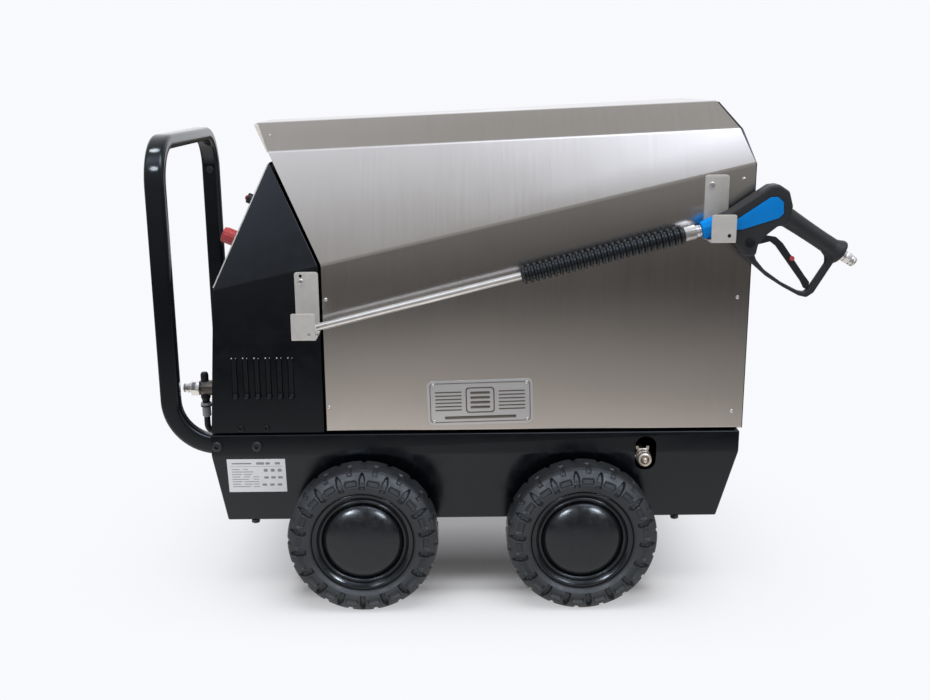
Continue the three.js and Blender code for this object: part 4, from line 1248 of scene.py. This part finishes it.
def build_hook(name):
    node = f"lance_hook_{name}"
    low, high = box(node)
    x = middle(node).x
    width, mid = high.x - low.x, HOOK_SHEET / 2
    back, lip = high.y - mid, low.y + mid
    spine = rounded([
        Vector((x, back, high.z)), Vector((x, back, low.z + mid)),
        Vector((x, lip, low.z + mid)), Vector((x, lip, low.z + HOOK_LIP)),
    ], 3.4, 6)
    run = divided(spine, 1.2)
    total = sum((b - a).length for a, b in zip(run, run[1:]))
    rows, gone = [], 0.0
    for i, here in enumerate(run):
        if i:
            gone += (here - run[i - 1]).length
        normal = X_AXIS.cross(heading(run, i))
        half = width / 2 - corner_loss(gone, 4.5) - corner_loss(total - gone, 2.6)
        corners = ((-1, -1), (1, -1), (1, 1), (-1, 1))
        rows.append([here + X_AXIS * (u * half) + normal * (n * mid) for u, n in corners])
    obj = link(f"hook_{name}_bent", mesh_of([tube(rows)], 0.5, 2, 60), HOOK[1], 40)
    pierced(obj, [peg(3.2, -6, 8, (x + 9, low.y, low.z + 12), Y_AXIS, 28)], 40)
    settle(obj, replaces=[node])
    seat = Vector((x - width / 2 + 11, high.y - HOOK_SHEET, high.z - 16))
    screw(f"hook_screw_{name}_head", seat, -Y_AXIS, 5.2, 2.9, 1.75, BRIGHT, [f"hook_screw_{name}"])
    if name == "front":
        # A thin near-black disc on the hook's back: painted shade standing for a slot in the sheet.
        keyhole = peg(2.6, 0, 0.3, seat + Vector((-0.5, 0, 9.5)), -Y_AXIS, 24)
        piece("hook_slot_front_shade", [keyhole], PAINTED_SHADE)


def corner_loss(distance, radius):
    """How much a rounded corner narrows a strip at some distance from its end."""
    if distance >= radius:
        return 0.0
    return radius - math.sqrt(max(0.0, radius ** 2 - (radius - distance) ** 2))


# ---------------- lance, gun and trigger
# Drawn in the lance's own directions: u along it towards the gun, v square to it and upwards.

LANCE_TILT = math.radians(13.94)
U = Vector((math.cos(LANCE_TILT), 0, math.sin(LANCE_TILT)))
V = Vector((-math.sin(LANCE_TILT), 0, math.cos(LANCE_TILT)))
COLLAR_U = 391.0  # where the gun's collar begins
LANCE_ZERO = middle("lance_tube") + U * (reach("gun_collar", U)[0] - middle("lance_tube").dot(U) - COLLAR_U)


def at(u, v=0.0, y=0.0):
    return LANCE_ZERO + U * u + V * v + Y_AXIS * y


def where(node):
    """Where a lance piece begins and ends, measured along u."""
    low, high = reach(node, U)
    return low - LANCE_ZERO.dot(U), high - LANCE_ZERO.dot(U)


def build_lance():
    start, end = where("lance_tube")
    pipe = softened([(6.5, 0), (6.5, end - start)], 0.4)
    piece("lance_pipe", [lathe(pipe, at(start), U, 48)], BRIGHT, "lance", ["lance_tube"])
    start, end = where("nozzle")
    body = softened([(6.6, 7), (7.5, 8), (7.5, end - start)], 0.5)
    tip = [(1.5, 5), (1.5, 0), (4.6, 0), (5.5, 1), (5.5, 7), (1.5, 7.5)]
    piece("nozzle_hex", [lathe(body, at(start), U, 6)], BRIGHT, "lance", ["nozzle"], bevel=0.5, smooth=25)
    piece("nozzle_tip", [turned(tip, at(start), U, 32)], BRIGHT, "lance")

    start, end = where("lance_grip")
    count = 27
    pitch = (end - start) / count
    inner, root, crest = 7.0, 12.2, 17.0
    shoulder = crest - 1.6
    rib = [(root, 0.14), (shoulder, 0.22), (crest, 0.34), (crest, 0.6), (shoulder, 0.72), (root, 0.8)]
    run = [(inner, 0.0), (root, 0.0)]
    run += [(r, (k + share) * pitch) for k in range(count) for r, share in rib]
    run += [(root, end - start), (inner, end - start)]
    piece("lance_grip_ribs", [turned(run, at(start), U, 56)], GRIP, "lance", ["lance_grip"], smooth=38)

    start, end = where("lance_nut")
    hex_end = end - start - 8
    hexed = [(7, 0), (10.8, 0), (12, 1.2), (12, hex_end - 1), (10.8, hex_end), (7, hex_end)]
    collar = [(7, 0), (10, 0), (10, 5), (9.2, 6), (9.2, 8), (7, 8)]
    nut = turned(hexed, at(start), U, 6, math.radians(30))
    piece("lance_nut_hex", [nut], BRIGHT, "lance", ["lance_nut"], bevel=0.6, smooth=25)
    piece("lance_nut_collar", [turned(collar, at(end - 8.2), U, 40)], BRIGHT, "lance")

    start, end = where("gun_collar")
    length = end - start
    faceted = [(8.6, 0), (13.2, 0), (14.4, 1.2), (18.2, length - 6), (18.2, length), (8.6, length)]
    blue_ring = turned(faceted, at(start), U, 10, math.radians(18))
    piece("gun_collar_ring", [blue_ring], BLUE, "lance", ["gun_collar"], bevel=1.2, smooth=30)


def outline_run(points, radius):
    """A closed outline in u and v with its corners rounded."""
    return rounded_flat(points, radius, 5, closed=True)


def slab(outline, half):
    """An outline given thickness to both sides of the lance's plane."""
    return prism(outline, at(0, 0, half), U, V, 2 * half)


GUN_HALF = (box("gun_shell_far")[1].y - box("gun_shell_near")[0].y) / 2
SEAM_HALF = 0.25
GRIP_RUN = ((528, -10), (607, -94.7))
GRIP_AXIS = at(*GRIP_RUN[1]) - at(*GRIP_RUN[0])
BODY_OUTLINE = [
    (414.5, 15), (440, 19.5), (512, 46), (526, 44), (540, 29), (541, 3), (522, -26), (512, -22),
    (492, -31), (474, -44), (466, -62), (450, -57), (441, -38), (434, -21), (414.5, -16),
]
GUARD_OUTER = [(438, -30), (446, -54), (480, -102), (503, -126), (526, -147), (538, -153), (551, -148),
               (595, -103), (600, -92), (585, -72)]
GUARD_INNER = [(575, -80), (581, -94), (579, -104), (545, -138), (536, -143), (526, -138), (502, -117),
               (478.5, -89.5), (468.5, -69.5), (466, -48)]
INSERT_OUTLINE = [(440, -9), (444, 5), (508, 28), (519, 25.5), (526, 15), (523, -3), (514, -8.5), (452, -12)]
LEVER_OUTLINE = [(454, -30), (490, -33.5), (508, -41), (517, -54), (542, -116), (548, -129), (544, -139),
                 (537.5, -138), (534, -124), (505, -56), (497, -46), (482, -46), (454, -44)]
# the space that the trigger sweeps inside the gun's body
LEVER_SLOT = [(450, -22), (488, -19), (513, -19.5), (525, -32), (532, -60), (500, -60), (484, -52),
              (450, -52)]
PIVOT = (461, -37)
LOCK = (526, -82)


def gun_grip():
    """The waisted round grip with its flange."""
    length = GRIP_AXIS.length
    run = [(15.5, -14), (16.5, 4), (15.4, length * 0.3), (14.8, length * 0.6), (15.2, length - 18),
           (18.6, length - 10), (20.4, length - 7), (20.4, length - 2), (18.5, length)]
    return lathe(softened(run, 3.0, 5), at(*GRIP_RUN[0]), GRIP_AXIS, 48)


def gun_block():
    """Body, grip and guard grown into one solid with soft edges."""
    body = slab(outline_run(BODY_OUTLINE, 7), GUN_HALF - 1)
    guard = slab(outline_run(GUARD_OUTER + GUARD_INNER, 5), 7.0)
    shell = link("gun_block", mesh_of([body], 4.5, 4, 40), GUN_PLASTIC[1])
    for part, bevel in ((gun_grip(), 0), (guard, 2.6)):
        more = link("gun_more", mesh_of([part], bevel, 3, 40), GUN_PLASTIC[1])
        union = shell.modifiers.new("join", "BOOLEAN")
        union.operation = "UNION"
        union.solver = "EXACT"
        union.object = more
        baked(shell)
        bpy.data.objects.remove(more)
    remesh = shell.modifiers.new("skin", "REMESH")
    remesh.mode = "VOXEL"
    remesh.voxel_size = 1.15 * MM
    ease_edges = shell.modifiers.new("ease", "SMOOTH")
    ease_edges.factor = 0.5
    ease_edges.iterations = 7
    baked(shell, 180)
    pocket = outline_run(grown(INSERT_OUTLINE, 1.1), 3)
    cutters = [
        prism(pocket, at(0, 0, -GUN_HALF + 1.6), U, V, 20),
        prism(pocket, at(0, 0, GUN_HALF + 18.4), U, V, 20),
        slab(LEVER_SLOT, 5.0),
        peg(5.2, -30, 30, at(*PIVOT), Y_AXIS, 32),
    ]
    return pierced(shell, cutters, 40)


def gun_half(shell, name, side):
    """The part of the gun's solid on one side of a narrow seam."""
    half = shell.copy()
    half.data = shell.data.copy()
    half.name = f"gun_half_{name}"
    placed(half)
    bm = bmesh.new()
    bm.from_mesh(half.data)
    everything = bm.verts[:] + bm.edges[:] + bm.faces[:]
    seam = (LANCE_ZERO + Y_AXIS * (side * SEAM_HALF)) * MM
    found = bmesh.ops.bisect_plane(
        bm, geom=everything, plane_co=seam, plane_no=(0, side, 0), clear_inner=True,
    )
    rim = [e for e in found["geom_cut"] if isinstance(e, bmesh.types.BMEdge)]
    bmesh.ops.triangle_fill(bm, use_beauty=True, edges=rim, normal=(0, -side, 0))
    bmesh.ops.recalc_face_normals(bm, faces=bm.faces)
    bm.to_mesh(half.data)
    bm.free()
    half.data.set_sharp_from_angle(angle=math.radians(40))
    settle(half, "lance", [f"gun_shell_{name}"])


def build_gun():
    shell = gun_block()
    for name, side in SIDES:
        gun_half(shell, name, side)
        face = at(0, 0, side * (GUN_HALF - 0.3) + 1.1)
        insert = prism(outline_run(INSERT_OUTLINE, 3), face, U, V, 2.2)
        piece(f"gun_insert_{name}_pad", [insert], BLUE, "lance", [f"gun_insert_{name}"], bevel=0.7)
    bpy.data.objects.remove(shell)
    rod, head, seat, end = 4.2, 7.6, GUN_HALF - 0.4, GUN_HALF + 1.0
    pin = softened([(head, -end), (head, -seat), (rod, -seat), (rod, seat), (head, seat), (head, end)], 0.3)
    piece("trigger_pin_rod", [lathe(pin, at(*PIVOT), Y_AXIS, 32)], CAP, "lance", ["trigger_pin"])


def grown(outline, by):
    """An outline moved away from its middle."""
    cu = sum(u for u, v in outline) / len(outline)
    cv = sum(v for u, v in outline) / len(outline)
    out = []
    for u, v in outline:
        away = Vector((u - cu, v - cv)).normalized() * by
        out.append((u + away.x, v + away.y))
    return out


def build_trigger():
    lever = slab(outline_run(LEVER_OUTLINE, 3), 4)
    obj = link("trigger_lever", mesh_of([lever], 1.6, 3, 40), PLASTIC[1], 40)
    pierced(obj, [peg(4.5, -9, 9, at(*PIVOT), Y_AXIS, 28), peg(4.4, -9, 9, at(*LOCK), Y_AXIS, 28)], 40)
    settle(obj, "trigger", ["trigger"])
    low, high = box("trigger_lock")
    bolt = softened([(4, low.y), (4, high.y)], 0.9)
    centre = at(*LOCK)
    centre.y = 0
    piece("trigger_lock_button", [lathe(bolt, centre, Y_AXIS, 32)], RED, "trigger_lock", ["trigger_lock"])


def build_swivel():
    axis = GRIP_AXIS.normalized()
    start, length = axis_start("gun_swivel", axis)
    neck = [(5, 0), (9.5, 0), (9.5, 6.5), (8.6, 7.5), (5, 7.5)]
    hexed = [(5, 7.5), (9.6, 7.5), (10.5, 8.4), (10.5, 16.6), (9.6, 17.5), (5, 17.5)]
    tail = [(5, 17.5), (8.6, 17.5), (9.2, 18.5), (9.2, length - 5), (8.2, length - 4), (9, length - 3),
            (8.4, length), (5, length)]
    parts = [turned(neck, start, axis, 40), turned(tail, start, axis, 40)]
    piece("swivel_barrel", parts, BRIGHT, "swivel", ["gun_swivel"])
    piece("swivel_hex", [turned(hexed, start, axis, 6)], BRIGHT, "swivel", bevel=0.5, smooth=25)


# ---------------- machinery inside

INSIDE = {"electric_motor": CAST, "pump": BRASS, "water_tank": TANK, "electrical_box": GREY,
          "motor_shaft": BRIGHT}


def finish_inside():
    for name, look in INSIDE.items():
        dressed(name, look, 1.5, 50)
    dressed("gun_valve", BRASS, 0.4, 50)


# ---------------- loose fasteners of the cover and the tray

TRAY_BOLT_X = (-439.0, 315.0)


def build_cover_screws():
    """Three screws near one upright edge of the cover and two near the other, and bolts under the tray."""
    left, right = hood_corners("hood")
    side_y = -left[0].y
    left_x, right_x = left[0].x, right[0].x - 19
    places = [(right_x, 737.4), (right_x, 538.6), (right_x, 336.6), (left_x + 6, 540), (left_x + 5, 350)]
    for name, side in SIDES:
        for k, (x, z) in enumerate(places):
            head = dome_head((x, side * side_y, z), (0, side, 0), 3.3, 1.9)
            piece(f"cover_screw_{name}_{k}", [head], BRIGHT)
    foot = corner("chassis_tray", -1, -1, -1)
    bolt = softened([(8, 0), (8, 5.5), (6.5, 7)], 0.8)
    for k, x in enumerate(TRAY_BOLT_X):
        for name, side in SIDES:
            seat = (x, side * (-foot.y - 6), foot.z)
            piece(f"tray_bolt_{name}_{k}", [lathe(bolt, seat, -Z_AXIS, 6)], HANDLE_SCREW, bevel=0.5)


# ---------------- studio

BACKGROUND = (0.945, 0.95, 0.985, 1)
ROOM_TINT = (1.03, 1.0, 0.955)
BOX_TINT = (0.92, 0.97, 1.1)
BACKDROP = (1.12, 1.13, 1.17, 1)
WARM = (1.0, 0.92, 0.845, 1)
AMBIENT = 0.6
# what reflections see: the floor by distance, the softbox by elevation and by sideways direction
FLOOR_SEEN = [(0.0, 0.95), (0.4, 0.95), (0.6, 0.72), (0.9, 0.46), (1.3, 0.34), (1.8, 0.19), (2.5, 0.08),
              (3.5, 0.09), (5.0, 0.15), (7.0, 0.17), (10.0, 0.26)]
BOX_RISE = [(34, 0.0), (39, 0.0), (44, 0.24), (49, 0.9), (52, 1.05), (58, 2.2), (66, 2.0), (75, 0.2),
            (82, 0.0)]
BOX_SIDE = [(-0.7, 0.2), (-0.5, 0.6), (-0.33, 0.5), (-0.19, 0.38), (-0.07, 0.62), (0.03, 1.15), (0.12, 1.9),
            (0.5, 2.0), (0.75, 0.2)]
# lamps that only some pieces catch, each given as the direction towards it
CAP_LAMPS = ((-0.38, -0.82, 0.42), (0.44, -0.79, 0.42))
BEND_LAMPS = ((-0.24, -0.77, 0.59), (-0.26, 0.0, 0.97))


def grey(value):
    return (value, value, value, 1)


def curve(nodes, value, table):
    """A brightness read from a table of [value, brightness] pairs, straight between them."""
    low, high = table[0][0], table[-1][0]
    ramp = nodes.node("ShaderNodeValToRGB", {"Fac": nodes.spread(value, low, high)})
    peak = max(level for _, level in table)
    stops = ramp.color_ramp.elements
    stops[1].position = 1.0
    for spot, _ in table[1:-1]:
        stops.new((spot - low) / (high - low))
    for stop, (_, level) in zip(stops, table):
        stop.color = grey(level / peak)
    return nodes.maths("MULTIPLY", ramp.outputs["Color"], peak)


def build_world():
    """Plain background for the camera, a soft studio for reflections, even light for everything else."""
    world = bpy.data.worlds.new("studio")
    bpy.context.scene.world = world
    world.use_nodes = True
    n = Nodes(world.node_tree)
    n.tree.nodes.clear()
    direction = n.node("ShaderNodeTexCoord").outputs["Generated"]
    parts = n.node("ShaderNodeSeparateXYZ", {"Vector": direction})
    x, y, z = (parts.outputs[axis] for axis in "XYZ")
    rise = n.vector("MULTIPLY", n.spread(z, 0.0, 0.9, 0.26, 0.46), ROOM_TINT)
    behind = n.spread(y, 0.15, 0.8, 0.0, 1.0)
    room = n.blend(behind, rise, BACKDROP)
    elevation = n.maths("MULTIPLY", n.maths("ARCTAN2", z, n.maths("MULTIPLY", y, -1.0)), 180 / math.pi)
    softbox = n.maths("MULTIPLY", curve(n, elevation, BOX_RISE), curve(n, x, BOX_SIDE))
    studio = n.vector("ADD", room, n.vector("MULTIPLY", softbox, BOX_TINT))
    path = n.node("ShaderNodeLightPath")
    plain = n.blend(path.outputs["Is Camera Ray"], grey(AMBIENT), BACKGROUND)
    colour = n.blend(path.outputs["Is Glossy Ray"], plain, studio)
    light = n.node("ShaderNodeBackground", {"Color": colour, "Strength": 1.0})
    n.node("ShaderNodeOutputWorld", {"Surface": light.outputs[0]})


# Share of the plain glowing background mixed into the lit floor by distance from the wheels: painted light
# that thins the cast shadow near the machine.
FLOOR_GLOW_SHARE = [(0.0, 0.0), (0.035, 0.36), (0.1, 0.58), (0.18, 0.76), (0.35, 0.93), (0.5, 1.0)]


def distance_outside(n, place, low, high):
    """How far a point lies outside an upright box, in metres."""
    centre = (low + high) / 2 * MM
    half = (high - low) / 2 * MM
    from_middle = n.vector("SUBTRACT", place, (centre.x, centre.y, 0))
    away = n.node("ShaderNodeVectorMath", {0: from_middle}, operation="ABSOLUTE").outputs[0]
    past = n.vector("MAXIMUM", n.vector("SUBTRACT", away, (half.x, half.y, 0)), (0, 0, 0))
    return n.node("ShaderNodeVectorMath", {0: past}, operation="LENGTH").outputs["Value"]


def floor_material(low, high, stance_low, stance_high):
    """White floor that melts into the background, and that reflections see as a darker studio."""
    material = bpy.data.materials.new("studio_floor")
    material.use_nodes = True
    n = Nodes(material.node_tree)
    n.tree.nodes.clear()
    place = n.node("ShaderNodeNewGeometry").outputs["Position"]
    parts = n.node("ShaderNodeSeparateXYZ", {"Vector": place})
    along, across = parts.outputs["X"], parts.outputs["Y"]
    seen_level = curve(n, distance_outside(n, place, low, high), FLOOR_SEEN)
    seen_level = n.maths("MULTIPLY", seen_level, n.spread(along, -0.3, 0.9, 1.0, 0.68))
    seen = n.node("ShaderNodeEmission", {"Color": WARM, "Strength": seen_level})
    lit = n.node("ShaderNodeBsdfDiffuse", {"Color": (0.86, 0.865, 0.88, 1)})
    plain = n.node("ShaderNodeEmission", {"Color": BACKGROUND, "Strength": 1.0})
    glow_share = curve(n, distance_outside(n, place, stance_low, stance_high), FLOOR_GLOW_SHARE)
    # towards the far side at least 0.3 of the glow: painted light on the floor under the machine's back half
    glow_share = n.maths("MAXIMUM", glow_share, n.spread(across, -0.1, 0.08, 0.0, 0.3))
    open_floor = n.node("ShaderNodeMixShader", {0: glow_share, 1: lit.outputs[0], 2: plain.outputs[0]})
    glossy = n.node("ShaderNodeLightPath").outputs["Is Glossy Ray"]
    surface = n.node("ShaderNodeMixShader", {0: glossy, 1: open_floor.outputs[0], 2: seen.outputs[0]})
    n.node("ShaderNodeOutputMaterial", {"Surface": surface.outputs[0]})
    return material


def collected(name, objects):
    group = bpy.data.collections.new(name)
    for obj in objects:
        group.objects.link(obj)
    return group


def studio_lamp(name, kind, energy, place=(0, 0, 0), aim=(0, 0, 1), catchers=None, **settings):
    """A lamp that shines against its aim; with catchers it only gives those pieces a highlight."""
    light = bpy.data.lights.new(name, kind)
    light.energy = energy
    for key, value in settings.items():
        setattr(light, key, value)
    obj = placed(bpy.data.objects.new(name, light))
    turn = Vector(aim).normalized().to_track_quat("Z", "Y").to_matrix().to_4x4()
    obj.matrix_world = Matrix.Translation(place) @ turn
    if catchers:
        obj.visible_diffuse = False
        obj.light_linking.receiver_collection = catchers
    return obj


def build_floor():
    wide = 12000
    corners = [(-wide, -wide, 0), (wide, -wide, 0), (wide, wide, 0), (-wide, wide, 0)]
    body_low, body_high = corner("chassis_tray", -1, -1, 0), corner("chassis_tray", 1, 1, 0)
    stance = Vector((300, 215, 0))
    mid = (WHEEL_MIDS["front_near"] + WHEEL_MIDS["rear_far"]) / 2
    look = floor_material(body_low, body_high, mid - stance, mid + stance)
    link("floor", mesh_of([(corners, [(0, 1, 2, 3)])]), look)


def build_lamps():
    overhead = studio_lamp("overhead", "AREA", 55, (0, -0.35, 2.6), shape="DISK", size=2.2)
    overhead.visible_glossy = False
    meshes = [obj for obj in bpy.context.scene.objects if obj.type == "MESH"]
    tubes = collected("handle_tubes", [obj for obj in meshes if obj.name.startswith("handle")])
    low, high = box("push_handle")
    bend = Vector((low.x + 17, -high.y, high.z - 40)) * MM
    for k, aim in enumerate(BEND_LAMPS):
        place = bend + Vector(aim).normalized() * 0.5
        studio_lamp(f"bend_lamp_{k}", "AREA", 0.3, place, aim, tubes, shape="DISK", size=0.09)
    parts = ("hub_cap", "rim", "tyre")
    shiny = collected("wheel_fronts", [bpy.data.objects[f"{part}_{name}_detail"] for name in WHEEL_MIDS
                                       for part in parts])
    for k, aim in enumerate(CAP_LAMPS):
        studio_lamp(f"cap_lamp_{k}", "SUN", 1.8, aim=aim, catchers=shiny, angle=math.radians(13))


def build_camera():
    """The photograph's view, found by matching corners of the cover, the wheels and the handle."""
    place = Vector((-77.35, -2026.7, 896.7))
    down, yaw, roll = 0.243, 0.0091, -0.0066
    ahead = Vector((math.sin(yaw) * math.cos(down), math.cos(yaw) * math.cos(down), -math.sin(down)))
    level = Vector((math.cos(yaw), -math.sin(yaw), 0))
    upright = level.cross(ahead)
    right = level * math.cos(roll) + upright * math.sin(roll)
    up = upright * math.cos(roll) - level * math.sin(roll)
    camera = bpy.data.cameras.new("photo_view")
    camera.sensor_width = 36
    camera.lens = 41.91
    camera.clip_end = 60
    obj = placed(bpy.data.objects.new("photo_view", camera))
    axes = Matrix((right, up, -ahead)).transposed()
    obj.matrix_world = Matrix.Translation(place * MM) @ axes.to_4x4()
    bpy.context.scene.camera = obj


# ---------------- assembly

build_chassis()
build_wheels()
build_axles()
build_handle_screws()
build_handle()
build_hood()
build_rear_panel()
build_console()
build_control_panel()
build_outlet()
build_cable()
build_inlet()
build_nameplate()
build_rating_plate()
build_hook("front")
build_hook("rear")
build_lance()
build_gun()
build_trigger()
build_swivel()
finish_inside()
build_cover_screws()
build_world()
build_floor()
build_lamps()
build_camera()
